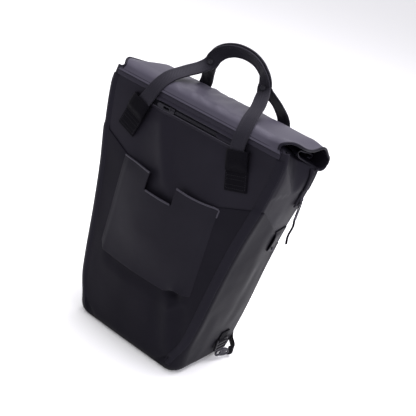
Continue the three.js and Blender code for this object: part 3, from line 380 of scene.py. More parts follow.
# %% [markdown]
# Materials come first, so that each piece is made with its own. All of them are worked out from
# patterns, not pictures, so they stay sharp at any distance. A few short helpers add one thing each to
# a shader: a drift of tone, a range of roughness, or a fine relief. The dark cloth's shine leans to
# violet, which the tint of the shader's reflection gives.


# %% Helpers that make a material
SHINE = (0.86, 0.82, 1.0, 1)


def new_material(name, color, roughness, specular=0.5, metallic=0.0):
    material = bpy.data.materials.new(name)
    material.use_nodes = True
    shader = material.node_tree.nodes["Principled BSDF"]
    shader.inputs["Base Color"].default_value = (*color, 1)
    shader.inputs["Roughness"].default_value = roughness
    shader.inputs["Specular IOR Level"].default_value = specular
    shader.inputs["Metallic"].default_value = metallic
    shader.inputs["Specular Tint"].default_value = SHINE
    return material, material.node_tree, shader


def node(tree, kind, **values):
    """A new node with its named sockets set."""
    made = tree.nodes.new(kind)
    for key, value in values.items():
        made.inputs[key.replace("_", " ")].default_value = value
    return made


def coordinates(tree, from_map=False):
    source = tree.nodes.new("ShaderNodeTexCoord")
    return source.outputs["UV" if from_map else "Object"]


def tone(tree, shader, vector, scale, dark, light):
    """Colour that drifts softly between two tones."""
    drift = node(tree, "ShaderNodeTexNoise", Scale=scale, Detail=4.0, Roughness=0.55)
    tree.links.new(vector, drift.inputs["Vector"])
    ramp = tree.nodes.new("ShaderNodeValToRGB")
    ramp.color_ramp.elements[0].position = 0.3
    ramp.color_ramp.elements[0].color = (*dark, 1)
    ramp.color_ramp.elements[1].position = 0.72
    ramp.color_ramp.elements[1].color = (*light, 1)
    tree.links.new(drift.outputs["Fac"], ramp.inputs["Fac"])
    tree.links.new(ramp.outputs["Color"], shader.inputs["Base Color"])
    return drift


def rough_range(tree, shader, height, low, high):
    """Roughness that follows a height from low to high."""
    spread = node(tree, "ShaderNodeMapRange")
    spread.inputs["To Min"].default_value = low
    spread.inputs["To Max"].default_value = high
    tree.links.new(height, spread.inputs["Value"])
    tree.links.new(spread.outputs["Result"], shader.inputs["Roughness"])


def bump(tree, shader, height, strength, distance_mm, under=None):
    """Fine relief; `under` is a bump that this one lies on."""
    relief = node(tree, "ShaderNodeBump", Strength=strength, Distance=distance_mm * MM)
    tree.links.new(height, relief.inputs["Height"])
    if under is not None:
        tree.links.new(under.outputs["Normal"], relief.inputs["Normal"])
    tree.links.new(relief.outputs["Normal"], shader.inputs["Normal"])
    return relief


print("material helpers ready")


# %% [markdown]
# The coated cloth has a tight woven base under a smooth skin: a broad soft shine, a fine grain and a
# faint change of tone. It comes in seven shades of one dark violet grey. The roll is the lightest, a
# painted highlight for the overhead light on its top, and the lower layer is the darkest, a painted
# shade for the shadow low on the bag and under the pocket. The hems' lighter shade is a painted
# highlight along the edges. Dark cloth in a white studio shines at every edge, so its reflection is
# kept weak and rough.

# %% The coated cloth
def coated_cloth(name, dark, light, low, high, specular):
    """A cloth between two tones, with its roughness from low to high."""
    material, tree, shader = new_material(name, light, high, specular)
    vector = coordinates(tree)
    drift = tone(tree, shader, vector, 9.0, dark, light)
    rough_range(tree, shader, drift.outputs["Fac"], low, high)
    broad = node(tree, "ShaderNodeTexNoise", Scale=70.0, Detail=3.0, Roughness=0.6)
    tree.links.new(vector, broad.inputs["Vector"])
    soft = bump(tree, shader, broad.outputs["Fac"], 0.25, 0.6)
    grain = node(tree, "ShaderNodeTexVoronoi", Scale=1500.0)
    tree.links.new(vector, grain.inputs["Vector"])
    bump(tree, shader, grain.outputs["Distance"], 0.22, 0.12, under=soft)
    return material


body_cloth = coated_cloth("coated_cloth", (0.0076, 0.0069, 0.0100), (0.0110, 0.0101, 0.0145),
                          0.46, 0.56, 0.085)
# The lower layer's darker tones are painted shade, for the shadow low on the bag and under the pocket.
wrap_cloth_painted_shade = coated_cloth("coated_cloth_lower_painted_shade", (0.0044, 0.0040, 0.0061), (0.0068, 0.0062, 0.0093),
                          0.48, 0.58, 0.07)
sleeve_cloth = coated_cloth("coated_cloth_pocket", (0.0064, 0.0059, 0.0084), (0.0094, 0.0087, 0.0122),
                            0.44, 0.54, 0.095)
# The roll's lighter tones are a painted highlight for the overhead light on its top.
roll_cloth_painted_light = coated_cloth("coated_cloth_roll_painted_light", (0.036, 0.0335, 0.046), (0.047, 0.0435, 0.059),
                          0.36, 0.46, 0.20)
band_cloth = coated_cloth("band_cloth", (0.0056, 0.0051, 0.0080), (0.0080, 0.0073, 0.0114),
                          0.46, 0.56, 0.095)
mouth_cloth = coated_cloth("mouth_cloth", (0.0135, 0.0122, 0.0182), (0.0190, 0.0172, 0.0250),
                           0.42, 0.52, 0.12)
# The hems' lighter tones are a painted highlight along the edges.
edge_cloth_painted_highlight = coated_cloth("edge_painted_highlight", (0.018, 0.017, 0.023), (0.030, 0.028, 0.036), 0.30, 0.40, 0.32)
print("coated cloths made")


# %% [markdown]
# The handles are covered in a slanted twill, the patches and laces are plain webbing, and the zips have a
# finer tape. Real threads would be millions of faces, so two wave patterns that cross make the relief.
# They follow the UV map, which runs in metres along the strap.

# %% Twill, webbing and zip tape
WAVES = 20 / (2 * math.pi)  # bands of a wave texture in one unit, at scale 1


def woven(name, dark, light, along, across, slant, strength, roughness, shine=0.12):
    """A weave that follows the strap: `along` and `across` are threads in a metre."""
    material, tree, shader = new_material(name, light, roughness, specular=shine)
    vector = coordinates(tree, from_map=True)
    turn = tree.nodes.new("ShaderNodeMapping")
    turn.inputs["Rotation"].default_value = (0, 0, math.radians(slant))
    tree.links.new(vector, turn.inputs["Vector"])
    ribs = tree.nodes.new("ShaderNodeTexWave")
    ribs.inputs["Scale"].default_value = along / WAVES
    ribs.inputs["Distortion"].default_value = 0.6
    ribs.inputs["Detail"].default_value = 1.0
    tree.links.new(turn.outputs["Vector"], ribs.inputs["Vector"])
    weft = tree.nodes.new("ShaderNodeTexWave")
    weft.bands_direction = "Y"
    weft.inputs["Scale"].default_value = across / WAVES
    tree.links.new(turn.outputs["Vector"], weft.inputs["Vector"])
    both = tree.nodes.new("ShaderNodeMath")
    both.operation = "ADD"
    tree.links.new(ribs.outputs["Fac"], both.inputs[0])
    tree.links.new(weft.outputs["Fac"], both.inputs[1])
    ramp = tree.nodes.new("ShaderNodeValToRGB")
    ramp.color_ramp.elements[0].color = (*dark, 1)
    ramp.color_ramp.elements[1].position = 0.9
    ramp.color_ramp.elements[1].color = (*light, 1)
    tree.links.new(ribs.outputs["Fac"], ramp.inputs["Fac"])
    tree.links.new(ramp.outputs["Color"], shader.inputs["Base Color"])
    bump(tree, shader, both.outputs[0], strength, 0.25)
    shader.inputs["Sheen Weight"].default_value = shine / 3
    shader.inputs["Sheen Roughness"].default_value = 0.4
    return material


twill = woven("handle_twill", (0.0064, 0.0060, 0.0084), (0.0160, 0.0150, 0.0205),
              900, 700, 38, 0.5, 0.6)
webbing = woven("webbing", (0.0012, 0.0011, 0.0018), (0.0034, 0.0031, 0.0046),
                620, 420, 0, 0.7, 0.72, shine=0.05)
zip_tape = woven("zip_tape", (0.002, 0.002, 0.003), (0.006, 0.006, 0.008),
                 1500, 1100, 0, 0.4, 0.75, shine=0.05)
print("woven finishes made")


# %% [markdown]
# Thread, moulded plastic and blackened metal are small on this bag. One helper makes all of them, with a
# fine grain that breaks up the highlight, since a perfectly even one looks like a drawing.

# %% Thread, moulded plastic and blackened metal
def plain_finish(name, color, roughness, grain_scale, strength, metallic=0.0, specular=0.5):
    material, tree, shader = new_material(name, color, roughness, specular, metallic)
    vector = coordinates(tree)
    grain = node(tree, "ShaderNodeTexNoise", Scale=grain_scale, Detail=3.0)
    tree.links.new(vector, grain.inputs["Vector"])
    rough_range(tree, shader, grain.outputs["Fac"], roughness - 0.08, roughness + 0.1)
    bump(tree, shader, grain.outputs["Fac"], strength, 0.08)
    return material


thread = plain_finish("thread", (0.014, 0.014, 0.017), 0.6, 2600, 0.4, specular=0.2)
coil_plastic = plain_finish("coil_plastic", (0.012, 0.012, 0.014), 0.38, 900, 0.1)
black_plastic = plain_finish("moulded_black", (0.0035, 0.0035, 0.004), 0.4, 1400, 0.25, specular=0.25)
grey_plastic = plain_finish("moulded_grey", (0.009, 0.009, 0.011), 0.42, 1400, 0.25, specular=0.35)
dark_metal = plain_finish("blackened_metal", (0.012, 0.012, 0.014), 0.4, 700, 0.12,
                          metallic=0.55, specular=0.4)
print("small finishes made")

# %% [markdown]
# The body is one tube of cloth with a flat base. A box with bevelled edges would be quick, but its faces
# couldn't swell and fold. So its columns run round the four faces and the four corners, and its rows go
# from the middle of the base over a rounded edge and up to the rim. The points in the middle of the
# base fall together, and joining doubles closes that pole and the seam of the tube.

# %% Columns round the body
FRONT_CELLS, CORNER_CELLS, SIDE_CELLS, BACK_CELLS = 88, 6, 44, 56


def make_stations():
    """Core place sx, sy from -1 to 1 and the outward angle of every column."""
    found = []

    def face(start, end, cells, angle):
        found.extend((mix(start[0], end[0], k / cells), mix(start[1], end[1], k / cells), angle)
                     for k in range(cells))

    def corner(sx, sy, angle):
        found.extend((sx, sy, angle + k / CORNER_CELLS * math.pi / 2) for k in range(CORNER_CELLS))

    face((-1, -1), (1, -1), FRONT_CELLS, -math.pi / 2)
    corner(1, -1, -math.pi / 2)
    face((1, -1), (1, 1), SIDE_CELLS, 0)
    corner(1, 1, 0)
    face((1, 1), (-1, 1), BACK_CELLS, math.pi / 2)
    corner(-1, 1, math.pi / 2)
    face((-1, 1), (-1, -1), SIDE_CELLS, math.pi)
    corner(-1, -1, math.pi)
    return found


STATIONS = make_stations()
print("columns round the body:", len(STATIONS))


# %% [markdown]
# Each row has its height and each column its place round the bag. Rows are level low down, where the
# lower layer needs them, and slope to the back near the rim, as the bag's mouth does.

# %% A point of the body's cloth at any column and row
BASE_ROWS, EDGE_ROWS, WALL_ROWS = 6, 6, 116
TILT_START = 0.58  # share of the height from which the rows slope to the back


def corner_radius(sy, z):
    """The front corners are rounder near the floor."""
    return CORNER + FRONT_SOFTNESS * (1 - smooth(z, 0, 80)) * (1 - sy) / 2


def body_point(station, z, off=0.0, base_inset=0.0):
    """A point of the body's cloth, off millimetres outside it."""
    sx, sy, angle = station
    width, depth, belly, side_swell, back_swell = section_at(z)
    radius = max(0.6, corner_radius(sy, z) + off - base_inset)
    x = sx * (width + off - base_inset - radius) + radius * math.cos(angle)
    y = sy * (depth + off - base_inset - radius) + radius * math.sin(angle)
    if sy == -1 and abs(sx) < 1:
        y -= belly * dome(sx) + front_relief(x, z)
    if sy == 1 and abs(sx) < 1:
        y += back_swell * dome(sx) + back_relief(x, z)
    if abs(sx) == 1 and abs(sy) < 1:
        x += sx * (side_swell * dome(sy) - gusset_inset(y, z) + side_relief(y, z))
    return Vector((x, y, z))


def rim_height(sy):
    """The rim slopes down to the back."""
    return mix(RIM_FRONT, RIM_BACK, clamp((sy + 1) / 2))


def wall_height(share, sy):
    """Rows are level low down and slope to the back near the rim."""
    if share <= TILT_START:
        return share * RIM_FRONT
    return mix(TILT_START * RIM_FRONT, rim_height(sy), (share - TILT_START) / (1 - TILT_START))


def body_row(i, j, off=0.0):
    """The point of column i and row j, off millimetres outside the cloth."""
    station = STATIONS[i % len(STATIONS)]
    if j <= BASE_ROWS:
        p = body_point(station, 0, off, BASE_RADIUS + off)
        return Vector((p.x * j / BASE_ROWS, p.y * j / BASE_ROWS, -off))
    if j <= BASE_ROWS + EDGE_ROWS:
        angle = (j - BASE_ROWS) / EDGE_ROWS * math.pi / 2
        radius = BASE_RADIUS + off
        height = BASE_RADIUS - radius * math.cos(angle)
        p = body_point(station, max(0.0, height), off, radius * (1 - math.sin(angle)))
        return Vector((p.x, p.y, height))
    low = BASE_RADIUS / RIM_FRONT
    share = mix(low, 1.0, (j - BASE_ROWS - EDGE_ROWS) / WALL_ROWS)
    return body_point(station, wall_height(share, station[1]), off)


print("a corner at mid height:", [round(c, 1) for c in body_point((1, -1, 0), RIM_FRONT / 2)])


# %% [markdown]
# With its columns and rows known, the body is one sheet rolled into a tube. Its wall goes inwards, so
# that the outer side keeps its measures.

# %% The body cloth
body_rows = BASE_ROWS + EDGE_ROWS + WALL_ROWS
body = close_up(sheet(len(STATIONS), body_rows, body_row))
finish(body, "body_cloth", body_cloth, "coated_cloth", ["body_shell"], wall=WALL)
print("body cloth:", len(STATIONS), "columns and", body_rows, "rows")

# %% [markdown]
# A second layer of cloth is welded round the lower part. Its top edge steps down from the front corner
# to the side tab and on to the back, and where it shows it makes the thin line across the bag. Cutting
# it out of a copy of the body would leave a jagged edge. So it follows the body's columns, and its rows
# end at a height that each column sets.

# %% The lower layer
WRAP_SEAT = 0.5
WRAP_THICKNESS = 1.2
WRAP_FRONT, WRAP_SLEEVE, WRAP_TAB, WRAP_BACK, WRAP_HIDDEN = 330.0, 306.0, 277.0, 240.0, 222.0
WRAP_LAP = 3.0
TAB_SHARE = 0.25
LAYER = WRAP_SEAT + WRAP_THICKNESS


def wrap_edge(station):
    """The height of the layer's top edge at a column. Its dip in the middle is hidden by the sleeve."""
    sx, sy, _ = station
    if sy == 1:
        return WRAP_BACK
    if abs(sx) == 1 and sy > -1:
        if sy < TAB_SHARE:
            return mix(WRAP_FRONT, WRAP_TAB, (sy + 1) / (TAB_SHARE + 1))
        return mix(WRAP_TAB, WRAP_BACK, (sy - TAB_SHARE) / (1 - TAB_SHARE))
    reach = section_at(WRAP_FRONT)[0] - CORNER
    x = abs(sx) * reach
    seam = SLEEVE_HALF - WRAP_LAP
    if x < seam:
        return mix(WRAP_HIDDEN, WRAP_SLEEVE, smooth(x, seam * 0.45, seam))
    return mix(WRAP_SLEEVE, WRAP_FRONT, (x - seam) / (reach - seam))


WRAP_FIRST = BASE_ROWS + 2
WRAP_EDGE_ROWS = 4
WRAP_ROWS = 104


def wrap_place(i, j):
    station = STATIONS[i % len(STATIONS)]
    if j <= WRAP_EDGE_ROWS:
        return body_row(i, WRAP_FIRST + j, LAYER)
    top = wrap_edge(station)
    z = mix(BASE_RADIUS, top, (j - WRAP_EDGE_ROWS) / (WRAP_ROWS - WRAP_EDGE_ROWS))
    return body_point(station, z, LAYER)


wrap = close_up(sheet(len(STATIONS), WRAP_ROWS, wrap_place))
# The lower layer's darker cloth is painted shade.
finish(wrap, "lower_layer", wrap_cloth_painted_shade, "coated_cloth", ["lower_wrap"], wall=WRAP_THICKNESS, edge=0.35)
print("lower layer made")

# %% [markdown]
# The sleeve is a flat pocket over the front, open along its top, with a notch for a hand. Its lower
# right corner hangs slack and shows a small gap. A Boolean could cut the notch, but it would leave long
# thin faces that shade badly. Here the grid's lines are laid along the notch's edges, its cells are
# deleted, and the wall that Solidify adds then runs round the notch as a cut edge does.

# %% The front sleeve
SLEEVE_THICKNESS = 1.6
SLEEVE_FULLNESS = 7.0
SLEEVE_LIFT = 11.0
SLEEVE_SAG = 2.6
SLEEVE_FOOT = 2.6
CORNER_LIFT = 12.0
NOTCH_LEFT, NOTCH_RIGHT, NOTCH_FLOOR = -34.0, 22.0, 277.0
SLEEVE_SEAT = LAYER + 0.3 + SLEEVE_THICKNESS
SLEEVE_SPANS = (  # start, end and cells between
    (-SLEEVE_HALF, NOTCH_LEFT, 28), (NOTCH_LEFT, NOTCH_RIGHT, 22), (NOTCH_RIGHT, SLEEVE_HALF, 32),
)
SLEEVE_LEVELS = ((SLEEVE_BOTTOM, NOTCH_FLOOR, 58), (NOTCH_FLOOR, SLEEVE_TOP, 14))


def spread(spans):
    """Places along a line that is cut into spans of so many cells."""
    places = [mix(low, high, k / cells) for low, high, cells in spans for k in range(cells)]
    return places + [spans[-1][1]]


sleeve_x = spread(SLEEVE_SPANS)
sleeve_z = spread(SLEEVE_LEVELS)


def sleeve_place(i, j):
    x, z = sleeve_x[i], sleeve_z[j]
    aside = abs(x) / SLEEVE_HALF
    t = (z - SLEEVE_BOTTOM) / (SLEEVE_TOP - SLEEVE_BOTTOM)
    slack = smooth(x / SLEEVE_HALF, 0.5, 0.76) * (1 - smooth(x / SLEEVE_HALF, 0.86, 1.0))
    low = slack * (1 - t) ** 6
    z += SLEEVE_LIFT * low + CORNER_LIFT * smooth(aside, 0.86, 1.02) * (1 - t) ** 4
    right = clamp((x - NOTCH_RIGHT) / (SLEEVE_HALF - NOTCH_RIGHT))
    z -= SLEEVE_SAG * math.sin(math.pi * right) * smooth(t, 0.8, 1.0)
    seat = mix(SLEEVE_SEAT + SLEEVE_FOOT * (1 - t) ** 10, LAYER + 0.4, smooth(aside, 0.88, 1.0))
    fullness = SLEEVE_FULLNESS * dome(x / SLEEVE_HALF) * smooth(t, 0, 0.45)
    loose = SLEEVE_LIFT * 0.35 * low + tuck(x, z) - 0.45 * hollow(x, z)
    return on_front(x, z, seat + fullness + loose)


sleeve = sheet(len(sleeve_x) - 1, len(sleeve_z) - 1, sleeve_place)
notch_cells = []
for cell in sleeve.faces:
    middle = cell.calc_center_median()
    if NOTCH_LEFT < middle.x < NOTCH_RIGHT and middle.z > NOTCH_FLOOR:
        notch_cells.append(cell)
bmesh.ops.delete(sleeve, geom=notch_cells, context="FACES")
finish(sleeve, "front_pocket", sleeve_cloth, "coated_cloth", ["front_sleeve"],
       wall=SLEEVE_THICKNESS, edge=0.5)
print("sleeve made, with", len(notch_cells), "cells cut out for its notch")

# %% [markdown]
# A flat band is welded over both front edges. It lies half on the front and half round the corner, and
# its outer fold is the long light line of the bag's edge. A strip cut from the body's own faces would
# have no thickness to catch that light, so the band is a sheet of its own, bent round the corner.

# %% The edge bands
BAND_WIDTH = 13.0
BAND_THICKNESS = 1.4
MOUTH_HEIGHT = 12.0
BAND_CELLS = 10
BAND_ROWS = 120


def band_seat(z):
    """The band lies on the lower layer, and above its edge on the body itself."""
    return mix(LAYER, 0.1, smooth(z, WRAP_FRONT - 4, WRAP_FRONT + 8)) + 0.1 + BAND_THICKNESS


def band_place(i, j, welded=0.0):
    """`welded` presses the band's inner half down, so that its edge on the front lies flush."""
    z = mix(BASE_RADIUS, RIM_FRONT - MOUTH_HEIGHT - 1, j / BAND_ROWS)
    radius = corner_radius(-1, z)
    core = section_at(z)[0] - radius
    bend = CORNER * math.pi / 4
    along = mix(bend - BAND_WIDTH, bend, i / BAND_CELLS)
    off = band_seat(z) - welded * (1 - smooth(i / BAND_CELLS, 0.0, 0.5))
    if along <= 0:
        return body_point((1 + along / core, -1, -math.pi / 2), z, off)
    return body_point((1, -1, -math.pi / 2 + along / radius), z, off)


band = sheet(BAND_CELLS, BAND_ROWS, band_place)
flush_band = mirror_over(sheet(BAND_CELLS, BAND_ROWS, lambda i, j: band_place(i, j, BAND_THICKNESS)))
for hand, side in (("right", band), ("left", flush_band)):
    finish(side, f"edge_band_cloth_{hand}", band_cloth, "band_cloth", [f"edge_band_{hand}"],
           wall=BAND_THICKNESS, edge=0.5)
print("edge bands made")


# %% [markdown]
# A band of the roll's cloth closes the bag's mouth at the front, just under the roll. It is a plain
# strip that lies on the front's own surface, so a short grid is all it needs.

# %% The band under the roll
MOUTH_CELLS, MOUTH_ROWS = 120, 6
MOUTH_REACH = section_at(RIM_FRONT)[0] - CORNER


def mouth_place(i, j):
    x = mix(-MOUTH_REACH, MOUTH_REACH, i / MOUTH_CELLS)
    return on_front(x, RIM_FRONT - (1 - j / MOUTH_ROWS) * MOUTH_HEIGHT, 1.5)


finish(sheet(MOUTH_CELLS, MOUTH_ROWS, mouth_place), "mouth_band_cloth", mouth_cloth, "band_cloth",
       ["mouth_band"], wall=1.2, edge=0.4)
print("mouth band made,", round(2 * MOUTH_REACH), "mm wide")

# %% [markdown]
# The roll is the bag's top folded over and turned in on itself. Rolling up a simulated cloth takes many
# tries, so the fold is drawn instead: a table gives its section from the front seam over the top, down
# the back and into the turn, and a sheet follows it from end to end. The ends reach past the
# body and hang a little, so their free edge runs in a wave, and the left end is drawn in on top.
# The inner turns lie in shadow, and they and the cloth's inner side take the darker band cloth, which
# adds painted shade there.

# %% The roll's section
ROLL_HALF = 178.0
ROLL_HEIGHT = 12.0
ROLL_THICKNESS = 2.0
ROLL_FOLD = (  # depth, height, reach
    (-0.985, 0.14, 0.85), (-0.94, 0.5, 0.87), (-0.78, 1.12, 0.93), (-0.5, 1.75, 0.99),
    (-0.15, 2.42, 1.0), (0.2, 2.95, 1.0), (0.52, 3.3, 1.0), (0.8, 3.25, 1.0),
    (0.98, 2.75, 1.0), (1.04, 1.95, 1.0), (0.99, 1.15, 0.995), (0.84, 0.78, 0.99),
    (0.55, 0.7, 0.985), (0.2, 0.68, 0.985), (-0.08, 0.8, 0.98), (-0.2, 1.2, 0.98),
    (-0.1, 1.65, 0.975), (0.2, 1.9, 0.97), (0.55, 2.15, 0.97), (0.74, 2.0, 0.965),
    (0.72, 1.55, 0.96), (0.5, 1.35, 0.96),
)


def through(points, t):
    """A point at share t of a smooth curve through points, even where they lie unevenly."""
    last = len(points) - 1
    at = clamp(t) * last
    k = min(int(at), last - 1)
    share = at - k
    p1, p2 = points[k], points[k + 1]
    p0 = points[k - 1] if k > 0 else 2 * p1 - p2
    p3 = points[k + 2] if k + 2 <= last else 2 * p2 - p1
    d0, d1, d2 = ((b - a).length ** 0.5 or 1.0 for a, b in ((p0, p1), (p1, p2), (p2, p3)))
    d0 = d0 if d0 > 1e-4 else d1
    d2 = d2 if d2 > 1e-4 else d1
    t1 = ((p1 - p0) / d0 - (p2 - p0) / (d0 + d1) + (p2 - p1) / d1) * d1
    t2 = ((p2 - p1) / d1 - (p3 - p1) / (d1 + d2) + (p3 - p2) / d2) * d1
    bend = -3 * p1 + 3 * p2 - 2 * t1 - t2 + share * (2 * p1 - 2 * p2 + t1 + t2)
    return p1 + share * (t1 + share * bend)


def roll_points(rows):
    """The table's rows as points on the right end of the roll."""
    half = TOP_DEPTH / 2
    found = []
    for depth, height, reach in rows:
        y = depth * half
        rim = rim_height(y / (half - CORNER))
        found.append(Vector((reach * ROLL_HALF, y, rim + height * ROLL_HEIGHT)))
    return found


fold_line = roll_points(ROLL_FOLD)
fold_length = sum((b - a).length for a, b in zip(fold_line, fold_line[1:]))
print("round the fold the cloth is about", round(fold_length), "mm long")


# %% [markdown]
# The sheet follows the section with small changes: soft wrinkles near the middle, a wave and a droop at
# both ends, and less width at the left end and in the inner turns. Its first row is the front seam.

# %% The roll's cloth
ROLL_CELLS, ROLL_ROWS = 132, 168
END_WAVE, END_DROOP = 4.5, 7.0
LEFT_DRAW, INNER_DRAW = 0.13, 0.08  # shares of the roll's half width
SEAM_DROP, SEAM_SEAT = 3.5, 3.4
INNER_SHARE = 0.56


def wrinkles(x, t):
    """Soft wrinkles on the roll's upper face, most of them near its middle."""
    middle = bell((x + 18) / 70)
    small = unevenness(x + 0.5 * t * 200, t * 150, 14, 2.4) * middle
    broad = unevenness(x + 500, t * 220, 48, 1.8)
    return (small + broad) * smooth(t, 0.05, 0.12) * (1 - smooth(t, 0.34, 0.42))


def roll_place(i, j):
    t = j / ROLL_ROWS
    share = 2 * i / ROLL_CELLS - 1
    aside = abs(share)
    p = through(fold_line, t)
    step = through(fold_line, min(1.0, t + 0.004)) - through(fold_line, max(0.0, t - 0.004))
    out = Vector((0, -step.z, step.y)).normalized()
    end = smooth(aside, 0.8, 1.0)
    ripple = math.sin(math.pi * clamp((t - 0.02) / 0.26) * 2.1 + 0.4) * (1 - smooth(t, 0.3, 0.36))
    wave = END_WAVE * end * ripple * (1.0 if share >= 0 else 0.35)
    lift = wrinkles(share * p.x, t) * (1 - end) + wave
    width = 1 - INNER_DRAW * smooth(t, 0.5, 0.62)
    if share < 0:
        width -= LEFT_DRAW * smooth(t, 0.0, 0.3) * (1 - smooth(t, 0.4, 0.5)) * smooth(aside, 0.5, 1.0)
    place = Vector((share * p.x * width, p.y, p.z)) + out * lift
    place.z -= END_DROOP * smooth(aside, 0.78, 1.0) * smooth(t, 0.3, 0.46)
    place.z -= END_DROOP * smooth(aside, 0.84, 1.02) * smooth(t, 0.1, 0.26) * (1 - smooth(t, 0.34, 0.44))
    seam = on_front(share * MOUTH_REACH, RIM_FRONT - SEAM_DROP, SEAM_SEAT)
    return seam.lerp(place, smooth(t, 0.0, 0.04))


roll = sheet(ROLL_CELLS, ROLL_ROWS, roll_place)
roll.faces.ensure_lookup_table()
# The inner turns take the darker band cloth: painted shade in their shadow.
for cell in roll.faces[int(len(roll.faces) * INNER_SHARE):]:
    cell.material_index = 1
# The roll's outer face carries a painted highlight in its lighter colour.
finish(roll, "roll_cloth_painted_light", roll_cloth_painted_light, "coated_cloth", ["roll_top"],
       wall=ROLL_THICKNESS, edge=0.6, inside=band_cloth)
print("roll made,", round(2 * ROLL_HALF), "mm wide")


# %% [markdown]
# Under the roll the bag is shut by its own cloth. Nothing of it shows but a dark line below the roll's
# ends, so one crowned sheet is enough: it leaves the rim on all sides and rises to the roll.

# %% The cloth under the roll
LID_CELLS, LID_ROWS = 60, 40
LID_RISE = 8.2


def lid_place(i, j):
    share = 2 * i / LID_CELLS - 1
    deep = 2 * j / LID_ROWS - 1
    y = deep * (TOP_DEPTH / 2 - 1)
    z = rim_height(y / (TOP_DEPTH / 2 - CORNER))
    half = section_at(z)[0] - gusset_inset(y, z) - 0.6
    rise = LID_RISE * (1 - abs(share) ** 24) * (1 - abs(deep) ** 24)
    return Vector((share * half, y, z + rise))


finish(sheet(LID_CELLS, LID_ROWS, lid_place), "roll_lid", band_cloth, "coated_cloth",
       wall=ROLL_THICKNESS, edge=0.4)
print("lid made")

# %% [markdown]
# Handles, shoulder straps and laces are flat straps that bend and twist. A curve object with a bevel
# would sweep them too, but it gives little say over the twist. Here a table of rows gives the middle
# line and the way the outer side looks, a smooth curve runs through it, and an outline is carried along.
# The handles' cloth is folded over at both edges, so their outline is thicker there, with a groove
# where each line of stitches pulls it down. Stitches are small balls, stretched along the seam.

# %% Helpers for straps
def strap_frames(rows, steps):
    """Middle point, direction, outer side, width direction and half sizes along a strap."""
    points = [Vector(row["at"]) for row in rows]
    found = []
    for k in range(steps + 1):
        t = k / steps
        along = (through(points, min(1.0, t + 1e-3)) - through(points, max(0.0, t - 1e-3))).normalized()
        at = t * (len(rows) - 1)
        low = min(int(at), len(rows) - 2)
        share = at - low
        face = Vector(rows[low]["face"]).lerp(Vector(rows[low + 1]["face"]), share)
        face = (face - along * face.dot(along)).normalized()
        width = mix(rows[low]["width"], rows[low + 1]["width"], share) / 2
        thick = mix(rows[low]["thick"], rows[low + 1]["thick"], share) / 2
        found.append((through(points, t), along, face, along.cross(face), width, thick))
    return found


def strap_length(frames):
    return sum((b[0] - a[0]).length for a, b in zip(frames, frames[1:]))


def flat_outline(cells, hem=0.0, groove=0.0, crown=0.0):
    """Shares (w, h) round a flat strap, from its right edge over the outer side and back inside."""
    found = []
    for k in range(cells):
        angle = 2 * math.pi * k / cells
        w = math.cos(angle)
        w = math.copysign(abs(w) ** 0.5, w)
        h = math.sin(angle)
        h = math.copysign(min(1.0, abs(h) * 2.2) ** 0.6, h) if abs(h) > 1e-6 else 0.0
        lift = 1 - hem * (1 - smooth(abs(w), 0.56, 0.66)) - groove * bell((abs(w) - 0.61) / 0.05)
        lift += crown * (1 - w * w)
        found.append((w, h * lift))
    return found


def strap_mesh(frames, outline):
    count = len(outline)
    length = strap_length(frames) * MM

    def place(i, j):
        at, _, face, across, width, thick = frames[j]
        w, h = outline[i % count]
        return at + across * (w * width) + face * (h * thick)

    width = 4 * frames[0][4] * MM
    return cap_ends(close_up(sheet(count, len(frames) - 1, place, size=(width, length)), 1e-3))


def stitch_line(bm, places, size=(3.0, 0.8, 0.55), pitch=4.2):
    """Adds stitches along places, a list of (point, outward direction)."""
    travel = 0.0
    half = pitch / 2
    for (a, out_a), (b, _) in zip(places, places[1:]):
        step = (b - a).length
        while travel + step >= half:
            share = (half - travel) / step
            at = a.lerp(b, share)
            along = (b - a).normalized()
            out = (out_a - along * out_a.dot(along)).normalized()
            turn = Matrix((along, along.cross(out) * -1, out)).transposed().to_4x4()
            shape = Matrix.Diagonal((size[0] / 2, size[1] / 2, size[2] / 2, 1))
            bmesh.ops.create_icosphere(bm, subdivisions=1, radius=1.0,
                                       matrix=Matrix.Translation(at) @ turn @ shape)
            half += pitch
        travel += step
    return bm


print("strap helpers ready")


# %% [markdown]
# A cut edge of coated cloth is folded in and welded, which leaves a small round hem that catches the
# light. A bevel alone is too thin for that line, so hems are fine round straps laid along the edge, in
# a lighter cloth that is a painted highlight.
# The pocket's hem runs along its top and round the notch, and the roll's ends are bound.

# %% Hems and bindings
def round_outline(sides):
    """Shares (w, h) round a circle."""
    return [(math.cos(2 * math.pi * k / sides), math.sin(2 * math.pi * k / sides)) for k in range(sides)]


def hem(points, faces, width, thick, steps_each=4):
    """A round hem of one width through points; a face for each tells which way is out."""
    rows = [{"at": tuple(p), "face": f, "width": width, "thick": thick} for p, f in zip(points, faces)]
    return strap_mesh(strap_frames(rows, steps_each * (len(rows) - 1)), round_outline(10))


top_row, floor_row = len(sleeve_z) - 1, SLEEVE_LEVELS[0][2]
notch_low, notch_high = SLEEVE_SPANS[0][2], SLEEVE_SPANS[0][2] + SLEEVE_SPANS[1][2]
last_column = len(sleeve_x) - 1
top_left = [sleeve_place(i, top_row) for i in range(0, notch_low + 1, 4)]
notch_floor = [sleeve_place(i, floor_row) for i in range(notch_low + 1, notch_high, 4)]
top_right = [sleeve_place(i, top_row) for i in range(notch_high, last_column - 2, 4)]
right_end = [sleeve_place(last_column, j) for j in range(top_row - 1, top_row - 9, -2)]
# The hems' lighter cloth is a painted highlight along the pocket's edges.
for name, line in (("left", top_left), ("right", top_right + right_end), ("notch", notch_floor)):
    line = [p + Vector((0, 0.9, -0.6)) for p in line]
    pocket_hem = hem(line, [(0, -1, 0.3)] * len(line), 3.2, 3.0)
    finish(pocket_hem, f"pocket_hem_{name}", edge_cloth_painted_highlight, "coated_cloth")

